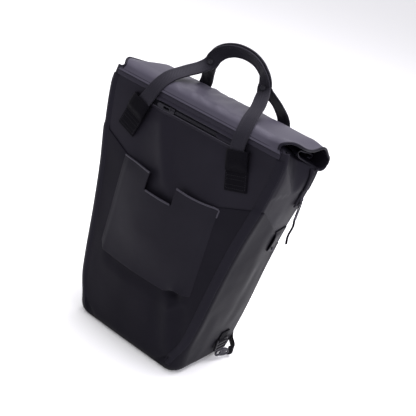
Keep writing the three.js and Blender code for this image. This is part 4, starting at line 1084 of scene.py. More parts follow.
for hand, column, inwards in (("left", 0, 1.2), ("right", ROLL_CELLS, -1.2)):
    ends = [roll_place(column, j) + Vector((inwards, 0, -0.6)) for j in range(4, 100, 4)]
    faces = [(0.01, -0.6 + 1.2 * k / len(ends), 1) for k in range(len(ends))]
    finish(hem(ends, faces, 4.6, 4.2), f"roll_binding_{hand}", band_cloth, "coated_cloth")
print("hems made")

# %% [markdown]
# Each handle starts on a webbing patch, rises over the roll and meets its twin at two press studs.
# Between the studs both straps arch together and twist a little, as a hand turns them. The tables are
# written for the right half, and the left half is their mirror image. A simulated strap would fall
# where it likes, while a table lets each leg bow and lean as the real one does.

# %% Measures of the handles
PATCH_LOW, PATCH_HIGH = Vector((112.0, 343.0)), Vector((95.0, 402.0))
PATCH_SEAT = 0.8
PATCH_WIDTH = 38.0
WEBBING_THICKNESS = 2.4
BACK_DROP = 22.0
GRIP_WIDTH = 24.0
GRIP_THICKNESS = 3.2
GRIP_GAP = 1.6
SNAP_PLACE = Vector((53.0, 23.0, 475.0))
HANDLE_BOW = 14.0
GRIP_RISE = 34.0
LEG_LAP = 10.0
LEG_SEAT = 1.8
LEG_LEAN = 6.0
FRONT_LEG = (  # inward, back, up, bow, face
    (0.0, 0.0, 0.0, 0, (0, -1, 0)), (0.14, 0.0, 0.22, 0.05, (0, -0.97, 0.2)),
    (0.23, 0.06, 0.45, 0.05, (0, -0.88, 0.45)), (0.37, 0.26, 0.66, 0.05, (-0.05, -0.75, 0.6)),
    (0.56, 0.56, 0.78, 0, (-0.05, -0.7, 0.7)), (0.8, 0.82, 0.88, 0, (0, -0.8, 0.6)),
    (0.93, 0.95, 0.95, 0, (0, -0.92, 0.35)),
)
REAR_LEG = (
    (0.0, 0.0, 0.0, 0, (0, 1, 0)), (0.12, 0.0, 0.2, 0.08, (0, 1, 0.1)),
    (0.24, 0.02, 0.38, 0.08, (0, 0.98, 0.15)), (0.37, 0.07, 0.56, 0.05, (0, 0.9, 0.4)),
    (0.57, 0.42, 0.76, 0, (0, 0.75, 0.65)), (0.79, 0.75, 0.89, 0, (0, 0.8, 0.5)),
    (0.92, 0.93, 0.95, 0, (0, 0.95, 0.3)),
)
GRIP_ARCH = (  # side, rise, back, face of the front handle
    (1.0, 0.0, 0.0, (-0.05, -1, 0.1)), (0.93, 0.27, 0.1, (-0.4, -0.9, 0.05)),
    (0.75, 0.62, 0.25, (-0.7, -0.7, -0.1)), (0.42, 0.9, 0.4, (-0.5, -0.7, -0.4)),
    (0.0, 1.0, 0.45, (0, -0.8, -0.6)),
)
HANDLES = (  # side, legs, turn, drop, layer
    ("front", FRONT_LEG, -1, 0.0, 0.0),
    ("rear", REAR_LEG, 1, BACK_DROP, GRIP_THICKNESS + GRIP_GAP),
)
HANDLE_STEPS = 22
HANDLE_SEAM = 0.61  # share of the half width


print("a grip rises", GRIP_RISE, "mm over its snaps")


# %% [markdown]
# A handle's rows start at the patch, follow the leg to the snap and go on over the grip. The front legs
# also lean a little to one side, as in the photograph, so the pair isn't a perfect mirror image.

# %% Rows of a handle
def grip_rows():
    """Middle line of the grip from the right snap to the middle, with its front direction."""
    points = []
    for side, rise, back, _ in GRIP_ARCH:
        points.append(Vector((side * SNAP_PLACE.x, SNAP_PLACE.y + back * HANDLE_BOW,
                              SNAP_PLACE.z + rise * GRIP_RISE)))
    rows = []
    for k, point in enumerate(points):
        if k == len(points) - 1:
            along = Vector((-1, 0, 0))
        else:
            along = (points[k + 1] - points[max(0, k - 1)]).normalized()
        face = Vector(GRIP_ARCH[k][3])
        rows.append((point, (face - along * face.dot(along)).normalized()))
    return rows


def handle_rows(legs, turn, drop, layer):
    """Rows of a whole handle; turn is -1 for the front one and 1 for the rear one."""
    high_z = PATCH_HIGH.y - drop
    on_face = on_front if turn < 0 else on_back
    relief = front_relief if turn < 0 else back_relief
    seat = PATCH_SEAT + WEBBING_THICKNESS + LEG_SEAT + GRIP_THICKNESS / 2
    start = on_face(PATCH_HIGH.x, high_z, seat - relief(PATCH_HIGH.x, high_z))
    rows = []
    for inward, back, up, bow, face in legs:
        at = (mix(PATCH_HIGH.x, SNAP_PLACE.x, inward),
              mix(start.y, SNAP_PLACE.y + layer, back) + turn * bow * HANDLE_BOW,
              mix(high_z - LEG_LAP, SNAP_PLACE.z, up))
        rows.append({"at": at, "face": face, "width": GRIP_WIDTH, "thick": GRIP_THICKNESS,
                     "lean": LEG_LEAN * math.sin(math.pi * up) if turn < 0 else 0.0})
    for point, face in grip_rows():
        rows.append({"at": tuple(point - face * layer), "face": tuple(-turn * face),
                     "width": GRIP_WIDTH, "thick": GRIP_THICKNESS, "lean": 0.0})
    twins = []
    for row in rows[-2::-1]:
        x, nx = row["at"][0], row["face"][0]
        twins.append({**row, "at": (-x, *row["at"][1:]), "face": (-nx, *row["face"][1:])})
    return [{**row, "at": (row["at"][0] + row["lean"], *row["at"][1:])} for row in rows + twins]


print("rows of the front handle:", len(handle_rows(*HANDLES[0][1:])))


# %% [markdown]
# With its rows known, a handle is one sweep. Four lines of stitches follow it near its edges, two on the
# outer side and two on the inner one.

# %% The handles
handle_outline = flat_outline(44, hem=0.22, groove=0.3)
snap_frames = {}
for side, legs, turn, drop, layer in HANDLES:
    rows = handle_rows(legs, turn, drop, layer)
    frames = strap_frames(rows, HANDLE_STEPS * (len(rows) - 1))
    snap_frames[side] = frames[HANDLE_STEPS * len(legs)]
    finish(strap_mesh(frames, handle_outline), f"handle_strap_{side}", twill, "handle_cloth",
           [f"handle_{side}"])
    seams = bmesh.new()
    for edge in (-HANDLE_SEAM, HANDLE_SEAM):
        for flip in (1, -1):
            line = [(at + across * edge * width + face * flip * (thick * 0.78), face * flip)
                    for at, _, face, across, width, thick in frames]
            stitch_line(seams, line)
    finish(seams, f"handle_stitches_{side}", thread, "webbing", sharp=0)
    print(side, "handle:", round(strap_length(frames)), "mm long")


# %% [markdown]
# A leg doesn't just end on its patch. The webbing patch is sewn flat below and folded into a loop above,
# and the leg's end sits inside that loop. Rows of stitches hold the flat part. One long strap could be
# bent into that shape, but two sheets, one over the other, show the same and are far simpler to place.

# %% Webbing patches, their loops and their stitches
PATCH_CELLS, PATCH_ROWS, LOOP_ROWS = 26, 44, 24
LOOP_LIFT, LOOP_ROUND = 1.6, 4.8
SEAM_SIZE, SEAM_PITCH, SEAM_LIFT = (2.6, 0.7, 0.6), 3.4, 0.15
patch_run = PATCH_HIGH - PATCH_LOW
patch_side = Vector((patch_run.y, -patch_run.x)).normalized()


def patch_point(u, v, drop):
    """u runs across the webbing and v up along it."""
    p = PATCH_LOW + patch_run * v + patch_side * ((u - 0.5) * PATCH_WIDTH)
    return p.x, p.y - drop


def patch_meshes(on_face, drop):
    """The flat webbing, its loop and its stitches, on one face of the bag."""
    def flat_place(i, j):
        x, z = patch_point(i / PATCH_CELLS, j / PATCH_ROWS, drop)
        return on_face(x, z, PATCH_SEAT + WEBBING_THICKNESS)

    def loop_place(i, j):
        u, v = i / PATCH_CELLS, mix(0.5, 1.02, j / LOOP_ROWS)
        x, z = patch_point(u, v, drop)
        rise = smooth(v, 0.5, 0.72) * (LOOP_LIFT + LOOP_ROUND * (1 - (2 * u - 1) ** 6))
        return on_face(x, z, PATCH_SEAT + 2 * WEBBING_THICKNESS + rise)

    def sew(shares, layers):
        seat = PATCH_SEAT + WEBBING_THICKNESS * layers + SEAM_LIFT
        line = [(on_face(*patch_point(u, v, drop), seat), Vector((0, -1, 0))) for u, v in shares]
        stitch_line(lines, line, size=SEAM_SIZE, pitch=SEAM_PITCH)

    length = patch_run.length * MM
    flat = sheet(PATCH_CELLS, PATCH_ROWS, flat_place, size=(PATCH_WIDTH * MM, length))
    loop = sheet(PATCH_CELLS, LOOP_ROWS, loop_place, size=(PATCH_WIDTH * MM, length / 2))
    lines = bmesh.new()
    for v in (0.07, 0.16, 0.3, 0.39, 0.55, 0.62):
        sew([(mix(0.08, 0.92, k / 12), v) for k in range(13)], 1 if v < 0.5 else 2)
    for u in (0.07, 0.93):
        sew([(u, mix(0.07, 0.44, k / 8)) for k in range(9)], 1)
    return flat, loop, lines


for side, on_face, drop in (("front", on_front, 0.0), ("rear", on_back, BACK_DROP)):
    flat, loop, lines = patch_meshes(on_face, drop)
    finish_pair(flat, f"patch_{side}", webbing, "webbing", f"handle_patch_{side}",
                wall=WEBBING_THICKNESS, edge=0.8)
    finish_pair(loop, f"patch_loop_{side}", webbing, "webbing", wall=WEBBING_THICKNESS * 0.8, edge=0.7)
    finish_pair(lines, f"patch_stitches_{side}", thread, "webbing", sharp=0)
print("patches made, each", round(patch_run.length), "mm long")


# %% [markdown]
# Press studs hold the two grips together. Round parts like these are turned: a profile is spun once
# round its axis and the last ring is merged with the first. A cylinder with a bevel would do for a
# plain disc, but not for the shallow dish in a stud's cap. The same helper makes the side tabs' rivets.

# %% Press studs and rivets
def turned(profile, steps=32):
    """Spins a list of (radius, height) round Z."""
    bm = bmesh.new()
    verts = [bm.verts.new((radius, 0, height)) for radius, height in profile]
    edges = [bm.edges.new(pair) for pair in zip(verts, verts[1:])]
    bmesh.ops.spin(bm, geom=verts + edges, cent=(0, 0, 0), axis=(0, 0, 1), angle=2 * math.pi,
                   steps=steps, use_merge=True)
    bmesh.ops.remove_doubles(bm, verts=bm.verts, dist=0.01)
    bmesh.ops.recalc_face_normals(bm, faces=bm.faces)
    return bm


def stand(bm, at, along, face):
    """Turns a part made flat: its length X along `along`, its face Z along `face`."""
    x = Vector(along).normalized()
    z = Vector(face)
    z = (z - x * z.dot(x)).normalized()
    turn = Matrix((x, z.cross(x), z)).transposed().to_4x4()
    bmesh.ops.transform(bm, matrix=Matrix.Translation(at) @ turn, verts=bm.verts)
    return bm


def cap_profile(radius, height):
    """Half the section of a domed cap with a shallow dish in its middle."""
    return ((0.0, height * 0.78), (radius * 0.3, height * 0.8), (radius * 0.42, height * 0.92),
            (radius * 0.6, height), (radius * 0.8, height * 0.9), (radius * 0.95, height * 0.6),
            (radius, height * 0.3), (radius, 0.0), (radius * 0.6, -0.3), (0.0, -0.3))


STUD_RADIUS, STUD_HEIGHT, STUD_SEAT = 5.2, 2.4, 0.2
for side, (at, along, face, _, _, thick) in snap_frames.items():
    stud = turned(cap_profile(STUD_RADIUS, STUD_HEIGHT))
    stand(stud, at + face * (thick + STUD_SEAT), along, face)
    finish_pair(stud, f"stud_{side}", dark_metal, "dark_metal", f"snap_{side}")
print("press studs made,", 2 * STUD_RADIUS, "mm across")

# %% [markdown]
# The front zip lies in a narrow window. Its dark tape is set between a welt above and a lip below, both
# with a rolled edge, and its teeth are two rows of small rounded links. Teeth in a relief texture would
# vanish in a close view, so each link is a small ball, stretched across the tape.

# %% The front zip
ZIP_HEIGHT, ZIP_LEFT, ZIP_RIGHT = 407.0, -78.0, 84.0
ZIP_SEAT = 0.5
TAPE_WIDTH, TAPE_THICKNESS = 13.0, 0.9
SLIDER_X, SLIDER_LENGTH, SLIDER_WIDTH, SLIDER_THICKNESS = -38.0, 11.0, 8.0, 3.4
PULL_LENGTH, PULL_WIDTH = 27.0, 7.0
TOOTH_PITCH, TOOTH_ASIDE, TOOTH_SHAPE = 1.9, 1.15, (0.62, 1.6, 0.9, 1)


def strip_on(on_face, columns, rows, x_span, z_span, off):
    """A strip on a face of the bag; off(u, v) is how far its outer side stands from the cloth."""
    def place(i, j):
        u, v = i / columns, j / rows
        return on_face(mix(*x_span, u), mix(*z_span, v), off(u, v))
    size = (abs(x_span[1] - x_span[0]) * MM, abs(z_span[1] - z_span[0]) * MM)
    return sheet(columns, rows, place, size=size)


tape = strip_on(on_front, 80, 6, (ZIP_LEFT, ZIP_RIGHT),
                (ZIP_HEIGHT - TAPE_WIDTH / 2, ZIP_HEIGHT + TAPE_WIDTH / 2),
                lambda *_: ZIP_SEAT + TAPE_THICKNESS)
finish(tape, "zip_tape_cloth", zip_tape, "zip_cloth", ["zip_tape_front"], wall=TAPE_THICKNESS, edge=0.2)
welt = strip_on(on_front, 80, 8, (ZIP_LEFT, ZIP_RIGHT), (ZIP_HEIGHT + 5.2, ZIP_HEIGHT + 11.4),
                lambda _, v: 1.3 + 2.6 * math.sin(math.pi * (0.12 + 0.88 * v) ** 0.8))
finish(welt, "zip_welt_cloth", mouth_cloth, "band_cloth", ["zip_welt_front"], wall=1.0, edge=0.3)
lip = strip_on(on_front, 80, 8, (ZIP_LEFT - 4, ZIP_RIGHT + 3), (ZIP_HEIGHT - 10.5, ZIP_HEIGHT - 5.0),
               lambda _, v: 0.7 + 2.1 * smooth(v, 0.0, 0.75) - 0.5 * smooth(v, 0.85, 1.0))
finish(lip, "zip_lip_cloth", body_cloth, "band_cloth", wall=0.9, edge=0.3)
# The zip's hems take the same lighter cloth, a painted highlight along the welt and the lip.
for name, rise, out, thick in (("low", -5.2, 2.6, 1.5), ("high", 5.6, 2.4, 1.3)):
    line = [on_front(mix(ZIP_LEFT, ZIP_RIGHT, k / 24), ZIP_HEIGHT + rise, out) for k in range(25)]
    finish(hem(line, [(0, -1, 0)] * 25, thick, thick, 3), f"zip_hem_{name}", edge_cloth_painted_highlight, "band_cloth")


def teeth(place, start, end):
    """Two rows of links; place(along, across) gives a point."""
    bm = bmesh.new()
    count = int(abs(end - start) / TOOTH_PITCH)
    for k in range(count):
        along = mix(start, end, (k + 0.5) / count)
        for row, side in enumerate((-TOOTH_ASIDE, TOOTH_ASIDE)):
            at = place(along + (row - 0.5) * TOOTH_PITCH * 0.5, side)
            ahead = (place(along + 1, side) - at).normalized()
            across = (place(along, side + 1) - place(along, side)).normalized()
            turn = Matrix((ahead, across, ahead.cross(across))).transposed().to_4x4()
            matrix = Matrix.Translation(at) @ turn @ Matrix.Diagonal(TOOTH_SHAPE)
            bmesh.ops.create_icosphere(bm, subdivisions=1, radius=1.0, matrix=matrix)
    return bm


coil_seat = ZIP_SEAT + TAPE_THICKNESS + 0.9
front_teeth = teeth(lambda along, across: on_front(along, ZIP_HEIGHT + across, coil_seat),
                    SLIDER_X + 6, ZIP_RIGHT - 10)
finish(front_teeth, "zip_teeth_front", coil_plastic, "zip_coil", ["zip_coil_front"], sharp=0)
print("front zip made,", round(ZIP_RIGHT - ZIP_LEFT), "mm long")


# %% [markdown]
# A slider is cast in one piece: two plates with a bridge between them and an arch on top. The pull is a
# loop of bar that hangs from the arch. Both could be cut out of a block with Booleans, but boxes with
# bevelled edges and bars swept along a path meet inside each other, and nobody sees where.

# %% Helpers for small hard parts
def rounded_box(size, radius, segments=3):
    """A box with all its edges rounded."""
    bm = bmesh.new()
    bmesh.ops.create_cube(bm, size=1.0)
    bmesh.ops.scale(bm, vec=size, verts=bm.verts)
    bmesh.ops.bevel(bm, geom=list(bm.edges), offset=radius, offset_type="OFFSET", affect="EDGES",
                    segments=segments, profile=0.5, material=-1)
    return bm


def join_into(bm, other, matrix=None):
    """Adds another mesh to bm, moved by matrix."""
    spare = bpy.data.meshes.new("spare")
    if matrix is not None:
        bmesh.ops.transform(other, matrix=matrix, verts=other.verts)
    other.to_mesh(spare)
    other.free()
    bm.from_mesh(spare)
    bpy.data.meshes.remove(spare)
    return bm


def rounded_path(length, width, radius, steps=6):
    """Points round a rectangle with rounded corners in the XY plane."""
    points = []
    for cx, cy, start in ((1, -1, -0.5), (1, 1, 0.0), (-1, 1, 0.5), (-1, -1, 1.0)):
        middle = Vector((cx * (length / 2 - radius), cy * (width / 2 - radius), 0))
        for k in range(steps + 1):
            angle = math.pi * (start + 0.5 * k / steps)
            points.append(middle + Vector((math.cos(angle), math.sin(angle), 0)) * radius)
    return points


def wire(points, radius, sides=10, flat=1.0, closed=True):
    """A round bar that follows points in the XY plane; flat squeezes it in Z."""
    count = len(points)
    cells = count if closed else count - 1

    def place(i, j):
        k = j % count
        before = points[(k - 1) % count] if closed else points[max(0, k - 1)]
        after = points[(k + 1) % count] if closed else points[min(count - 1, k + 1)]
        run = (after - before).normalized()
        angle = 2 * math.pi * (i % sides) / sides
        side = Vector((run.y, -run.x, 0))
        up = Vector((0, 0, radius * flat * math.sin(angle)))
        return points[k] + side * (radius * math.cos(angle)) + up

    bm = close_up(sheet(sides, cells, place), 0.005)
    if not closed:
        cap_ends(bm)
    bmesh.ops.recalc_face_normals(bm, faces=bm.faces)
    return bm


print("helpers for boxes and bars ready")


# %% [markdown]
# The front zip's slider stands a quarter of the way along the zip, where the photograph shows it, and
# its pull lies flat beside it.

# %% Sliders and pulls
def slider_shape():
    """A zip slider: two plates held by a bridge, with the pull's arch on top."""
    bm = rounded_box((SLIDER_LENGTH, SLIDER_WIDTH, 1.2), 0.45)
    lower_plate = rounded_box((SLIDER_LENGTH * 0.9, SLIDER_WIDTH * 0.86, 0.9), 0.35)
    bridge = rounded_box((SLIDER_LENGTH * 0.3, SLIDER_WIDTH * 0.3, 2.0), 0.3)
    join_into(bm, lower_plate, Matrix.Translation((0, 0, -1.5)))
    join_into(bm, bridge, Matrix.Translation((3, 0, -0.8)))
    arch = [Vector((-3.4 + 6.8 * k / 10, 2.0 * math.sin(math.pi * k / 10), 0)) for k in range(11)]
    turned_arch = wire(arch, 0.7, 8, closed=False)
    join_into(bm, turned_arch, Matrix.Translation((0, 0, 0.6)) @ Matrix.Rotation(math.pi / 2, 4, "X"))
    return bm


def pull_shape(length):
    """A pull: a loop of flat bar, rounder at its free end."""
    bm = wire(rounded_path(length - 2.2, PULL_WIDTH - 1.6, 2.4), 1.15, 10, flat=0.9)
    grip = rounded_box((length * 0.42, PULL_WIDTH - 1.0, 1.6), 0.6)
    join_into(bm, grip, Matrix.Translation((-length * 0.24, 0, 0)))
    return bm


slider_seat = ZIP_SEAT + TAPE_THICKNESS + 0.6 + SLIDER_THICKNESS / 2
pull_x = SLIDER_X - (SLIDER_LENGTH + PULL_LENGTH) / 2 + 4
pull_at = on_front(pull_x, ZIP_HEIGHT, slider_seat + 0.8)
slider = stand(slider_shape(), on_front(SLIDER_X, ZIP_HEIGHT, slider_seat), (1, 0, 0), (0, -1, 0))
finish(slider, "slider_front", dark_metal, "dark_metal", ["zip_slider_front"])
pull = stand(pull_shape(PULL_LENGTH), pull_at, (1, 0, 0), (0, -1, 0))
finish(pull, "pull_front", dark_metal, "dark_metal", ["zip_pull_front"])

print("slider and pull made")


# %% [markdown]
# The right end of the zip is hidden under a small tab of cloth. A scaled sphere would look like a bead,
# so it is a sheet again, narrow at both ends and domed across.

# %% The tab over the end of the zip
END_LENGTH, END_HALF, END_ROUND = 36.0, 4.2, 0.16


def end_tab_place(i, j):
    """A small tab of cloth with round ends, domed over the end of the coil."""
    u, v = i / 24, j / 10
    x = mix(ZIP_RIGHT - END_LENGTH, ZIP_RIGHT, u)
    left, right = (1 - (1 - clamp(share / END_ROUND)) ** 2 for share in (u, 1 - u))
    half = END_HALF * left ** 0.5 * right ** 0.5
    z = ZIP_HEIGHT + (2 * v - 1) * max(half, 0.4)
    return on_front(x, z, 2.3 + 1.4 * (1 - (2 * v - 1) ** 2) * smooth(half, 0, 4))


finish(sheet(24, 10, end_tab_place), "zip_end_cloth", band_cloth, "band_cloth", ["zip_end_tab"],
       wall=1.2, edge=0.4)
print("end tab made,", round(END_LENGTH), "mm long")

# %% [markdown]
# The side zip is short. It runs up under the hanging end of the roll, and its long pull hangs outside
# the bag with a small tape tied to it. Two lips of the body's cloth fold over it from both sides. The
# strip, the teeth, the slider and the pull come from the front zip's helpers, set on the side instead.

# %% The side zip
SIDE_ZIP_Y, SIDE_ZIP_LOW, SIDE_SLIDER_Z = 38.0, 327.0, 338.0
SIDE_SEAT = 0.9
SIDE_PULL_LENGTH, PULL_TAPE_LENGTH = 34.0, 46
side_top = rim_height(SIDE_ZIP_Y / (TOP_DEPTH / 2 - CORNER))


side_tape = strip_on(on_side, 8, 30, (SIDE_ZIP_Y - 6.5, SIDE_ZIP_Y + 6.5), (SIDE_ZIP_LOW, side_top),
                     lambda u, _: SIDE_SEAT + TAPE_THICKNESS + 1.1 * abs(2 * u - 1) ** 3)
finish(side_tape, "zip_tape_side_cloth", zip_tape, "zip_cloth", ["zip_tape_side"],
       wall=TAPE_THICKNESS, edge=0.3)
for name, low, high in (("front", -9.0, -1.3), ("back", 1.3, 9.0)):
    side_lip = strip_on(on_side, 10, 30, (SIDE_ZIP_Y + low, SIDE_ZIP_Y + high),
                        (SIDE_ZIP_LOW - 4, side_top),
                        lambda u, _: 0.4 + 3.6 * math.sin(math.pi * clamp(0.08 + 0.86 * u)) ** 0.7)
    finish(side_lip, f"side_zip_lip_{name}", body_cloth, "band_cloth", wall=0.9, edge=0.3)
side_coil_seat = SIDE_SEAT + TAPE_THICKNESS + 1.2
side_teeth = teeth(lambda along, across: on_side(SIDE_ZIP_Y + across, along, side_coil_seat),
                   SIDE_SLIDER_Z + 6, side_top - 2)
finish(side_teeth, "zip_teeth_side", coil_plastic, "zip_coil", ["zip_coil_side"], sharp=0)

side_slider_at = on_side(SIDE_ZIP_Y, SIDE_SLIDER_Z, side_coil_seat + SLIDER_THICKNESS / 2)
side_slider = stand(slider_shape(), side_slider_at, (0, 0, 1), (1, 0, 0))
finish(side_slider, "slider_side", dark_metal, "dark_metal", ["zip_slider_side"])
pull_top = SIDE_SLIDER_Z - SLIDER_LENGTH / 2 + 2
pull_middle = Vector((side_slider_at.x + 0.8, SIDE_ZIP_Y, pull_top - SIDE_PULL_LENGTH / 2))
side_pull = stand(pull_shape(SIDE_PULL_LENGTH), pull_middle, (0, 0, 1), (1, 0, 0))
finish(side_pull, "pull_side", dark_metal, "dark_metal", ["zip_pull_side"])

tape_top = pull_top - SIDE_PULL_LENGTH + 3
tape_rows = []
for down, sway in ((0, 0.0), (0.3, 1.2), (0.7, -0.6), (1, 0.6)):
    at = (side_slider_at.x + sway, SIDE_ZIP_Y + sway, tape_top - PULL_TAPE_LENGTH * down)
    tape_rows.append({"at": at, "face": (1, 0, 0), "width": 4.4, "thick": 2.2})
pull_tape = strap_mesh(strap_frames(tape_rows, 36), flat_outline(16, crown=0.2))
finish(pull_tape, "pull_tape", webbing, "webbing", ["zip_pull_tape"])
print("side zip made,", round(side_top - SIDE_ZIP_LOW), "mm long")


# %% [markdown]
# On each side a tab of cloth is welded down along its back and top, and its lower front corner stands
# off, held by a rivet. A light can be clipped there. One sheet does it: its distance from the bag grows
# from nothing at the welded edges to the free corner, and a box could not lift at one corner only.

# %% Side tabs with their rivets
TAB_FRONT_Y, TAB_BACK_Y, TAB_TOP, TAB_LOW, TAB_SLANT = 20.0, 58.0, 276.0, 224.0, 14.0
TAB_THICKNESS, TAB_LIFT = 1.8, 2.4
RIVET_RADIUS, RIVET_HEIGHT = 3.2, 1.8


def tab_place(i, j):
    u, v = i / 24, j / 30
    z = mix(TAB_LOW + (1 - u) * TAB_SLANT, TAB_TOP, v)
    y = min(mix(TAB_FRONT_Y, TAB_BACK_Y, u), section_at(z)[1] - CORNER)
    lift = TAB_LIFT * math.sin(math.pi * v) * (1 - u) ** 2
    free = (1 - smooth(u, 0.5, 0.95)) * (1 - smooth(v, 0.75, 1.0))
    return on_side(y, z, LAYER + 0.2 + (TAB_THICKNESS + 0.1) * free + lift)


# The tabs share the lower layer's darker cloth and its painted shade.
finish_pair(sheet(24, 30, tab_place), "tab_cloth", wrap_cloth_painted_shade, "band_cloth", "side_tab",
            wall=TAB_THICKNESS, edge=0.6)
rivet_at = on_side(TAB_FRONT_Y + 14, TAB_LOW + TAB_SLANT + 2, LAYER + TAB_THICKNESS + 1.9)
rivet = stand(turned(cap_profile(RIVET_RADIUS, RIVET_HEIGHT), 24), rivet_at, (0, 1, 0), (1, 0, 0))
finish_pair(rivet, "rivet", dark_metal, "dark_metal", "tab_rivet")
print("side tabs made")

# %% [markdown]
# The padded shoulder straps are fuller in their middle and have a bound edge. Each is sewn to the back
# under a flat yoke of webbing. Inflating two sheets with cloth simulation is the usual way to a pad;
# here one outline that is pulled in at its seams is swept down the back, which keeps its edges even.

# %% The shoulder straps
STRAP_TOP_X, STRAP_TOP_Z, STRAP_END_X, STRAP_END_Z = 46.0, 352.0, 94.0, 118.0
STRAP_WIDTH, STRAP_THICKNESS, STRAP_REACH, LACE_WIDTH, LACE_THICKNESS = 58.0, 11.0, 34.0, 24.0, 1.8
SHOULDER = (  # down, aside, out, each a share of the whole
    (0.0, 0.0, 0.15), (0.06, 0.0, 0.2), (0.18, 0.1, 0.75), (0.36, 0.3, 1.0), (0.58, 0.55, 0.95),
    (0.8, 0.8, 0.7), (1.0, 1.0, 0.4),
)
PAD_POINTS, PAD_SEAM = 56, 0.8


def flat_back(x, z):
    """How far back the cloth stands, without its folds."""
    width, depth, _, _, swell = section_at(z)
    return depth + swell * dome(x / (width - CORNER))


shoulder_rows = []
for k, (down, aside, out) in enumerate(SHOULDER):
    x = mix(STRAP_TOP_X, STRAP_END_X, aside)
    z = mix(STRAP_TOP_Z, STRAP_END_Z, down)
    narrow = k / (len(SHOULDER) - 1)
    at = (x, flat_back(x, z) + WRAP_THICKNESS + STRAP_REACH * out, z)
    shoulder_rows.append({"at": at, "face": (0, 1, 0),
                          "width": mix(STRAP_WIDTH, LACE_WIDTH + 8, narrow ** 2),
                          "thick": mix(STRAP_THICKNESS, STRAP_THICKNESS * 0.7, narrow)})

pad_outline = []
for k in range(PAD_POINTS):
    angle = 2 * math.pi * k / PAD_POINTS
    w = math.copysign(abs(math.cos(angle)) ** 0.62, math.cos(angle))
    full = (1 - abs(w) ** 4) ** 0.5 * (1 - 0.3 * bell((abs(w) - PAD_SEAM) / 0.06))
    pad_outline.append((w, math.copysign(full, math.sin(angle)) if abs(math.sin(angle)) > 1e-6 else 0.0))
pad_frames = strap_frames(shoulder_rows, 96)
finish_pair(strap_mesh(pad_frames, pad_outline), "shoulder_pad", twill, "handle_cloth", "shoulder_strap")


print("shoulder straps made,", round(strap_length(pad_frames)), "mm long")


# %% [markdown]
# A yoke is a flat piece of webbing sewn over the upper end of a shoulder strap. It hides the strap's cut
# end, so it steps up from the back over the padding in one smooth curve.

# %% Yokes over the straps' ends, and their stitches
YOKE_LOW, YOKE_HIGH = STRAP_TOP_Z - 15, STRAP_TOP_Z + 17
YOKE_CELLS, YOKE_ROWS, YOKE_THICKNESS = 30, 26, 1.6


def yoke_place(i, j):
    """The yoke lies on the back above the strap and steps up over the strap's end."""
    u, v = i / YOKE_CELLS, j / YOKE_ROWS
    x = mix(STRAP_TOP_X - STRAP_WIDTH / 2 - 3, STRAP_TOP_X + STRAP_WIDTH / 2 + 3, u)
    z = mix(YOKE_LOW, YOKE_HIGH, v)
    over = 1 - smooth(z, STRAP_TOP_Z - 4, STRAP_TOP_Z + 9)
    height = mix(0.6, STRAP_REACH * 0.17 + STRAP_THICKNESS / 2 + WRAP_THICKNESS + 0.7, over)
    height *= 1 - 0.55 * smooth(abs(2 * u - 1), 0.84, 1.0) * over
    return Vector((x, flat_back(x, z) + back_relief(x, z) + height + YOKE_THICKNESS, z))


yoke = sheet(YOKE_CELLS, YOKE_ROWS, yoke_place, size=(0.064, 0.032))
finish_pair(yoke, "strap_yoke", webbing, "webbing", wall=YOKE_THICKNESS, edge=0.5)
yoke_lines = bmesh.new()
for z in (YOKE_HIGH - 2, YOKE_HIGH - 5, YOKE_LOW + 2, YOKE_LOW + 5):
    row = round((z - YOKE_LOW) / (YOKE_HIGH - YOKE_LOW) * YOKE_ROWS)
    line = [(yoke_place(i, row) + Vector((0, 0.1, 0)), Vector((0, 1, 0)))
            for i in range(2, YOKE_CELLS - 1)]
    stitch_line(yoke_lines, line, size=SEAM_SIZE, pitch=3.6)
finish_pair(yoke_lines, "yoke_stitches", thread, "webbing", sharp=0)

seams = bmesh.new()
for edge in (-PAD_SEAM, PAD_SEAM):
    line = [(at + across * edge * width + face * (thick * 0.6), face)
            for at, _, face, across, width, thick in pad_frames]
    stitch_line(seams, line)
finish_pair(seams, "shoulder_stitches", thread, "webbing", sharp=0)
print("yokes made,", YOKE_HIGH - YOKE_LOW, "mm tall")


# %% [markdown]
# Low on each side an anchor of webbing holds a ladder lock, and a small hook hangs below it. The lock is
# a frame with four bars, with the webbing threaded through. It could be one plate with holes cut in it.
# Bevelled bars that meet inside each other give it the rounded edges of a moulded part at once. The
# hook is a ring and an arm, both swept from round bar.

# %% Anchor, ladder lock and hook
ANCHOR_Y, ANCHOR_Z, ANCHOR_HEIGHT = 28.0, 49.0, 16.0
LOCK_HEIGHT, LOCK_WIDTH, LOCK_THICKNESS, LOCK_BAR = 22.0, 32.0, 4.0, 3.2
HOOK_LENGTH, HOOK_WIDTH = 32.0, 17.0
RING_RADIUS, RING_BAR, ARM_BAR, BAR_FLAT = 5.4, 2.4, 2.3, 0.62
LAYER_TOP = LAYER + 0.3
lock_z = ANCHOR_Z - 0.3 - LOCK_HEIGHT / 2


def flat_side(y, z):
    """How far out the cloth of the side stands, without its folds."""
    width, depth, _, swell, _ = section_at(z)
    return width + swell * dome(y / (depth - CORNER)) - gusset_inset(y, z)


lock_place = Vector((flat_side(ANCHOR_Y, lock_z) + LAYER_TOP + 2.3 + LOCK_THICKNESS / 2, ANCHOR_Y, lock_z))
hook_along = Vector((0.25, 1, 0)).normalized()
hook_place = Vector((lock_place.x + 2, ANCHOR_Y + HOOK_LENGTH * 0.35,
                     lock_z - (LOCK_HEIGHT + HOOK_WIDTH) / 2 - 0.3))

anchor = strip_on(on_side, 16, 14, (ANCHOR_Y - LACE_WIDTH / 2, ANCHOR_Y + LACE_WIDTH / 2),
                  (ANCHOR_Z - 4, ANCHOR_Z + ANCHOR_HEIGHT),
                  lambda _, v: LAYER_TOP + LACE_THICKNESS + 3.4 * (1 - smooth(v, 0, 0.35)))
finish_pair(anchor, "anchor", webbing, "webbing", "strap_anchor", wall=LACE_THICKNESS, edge=0.5)

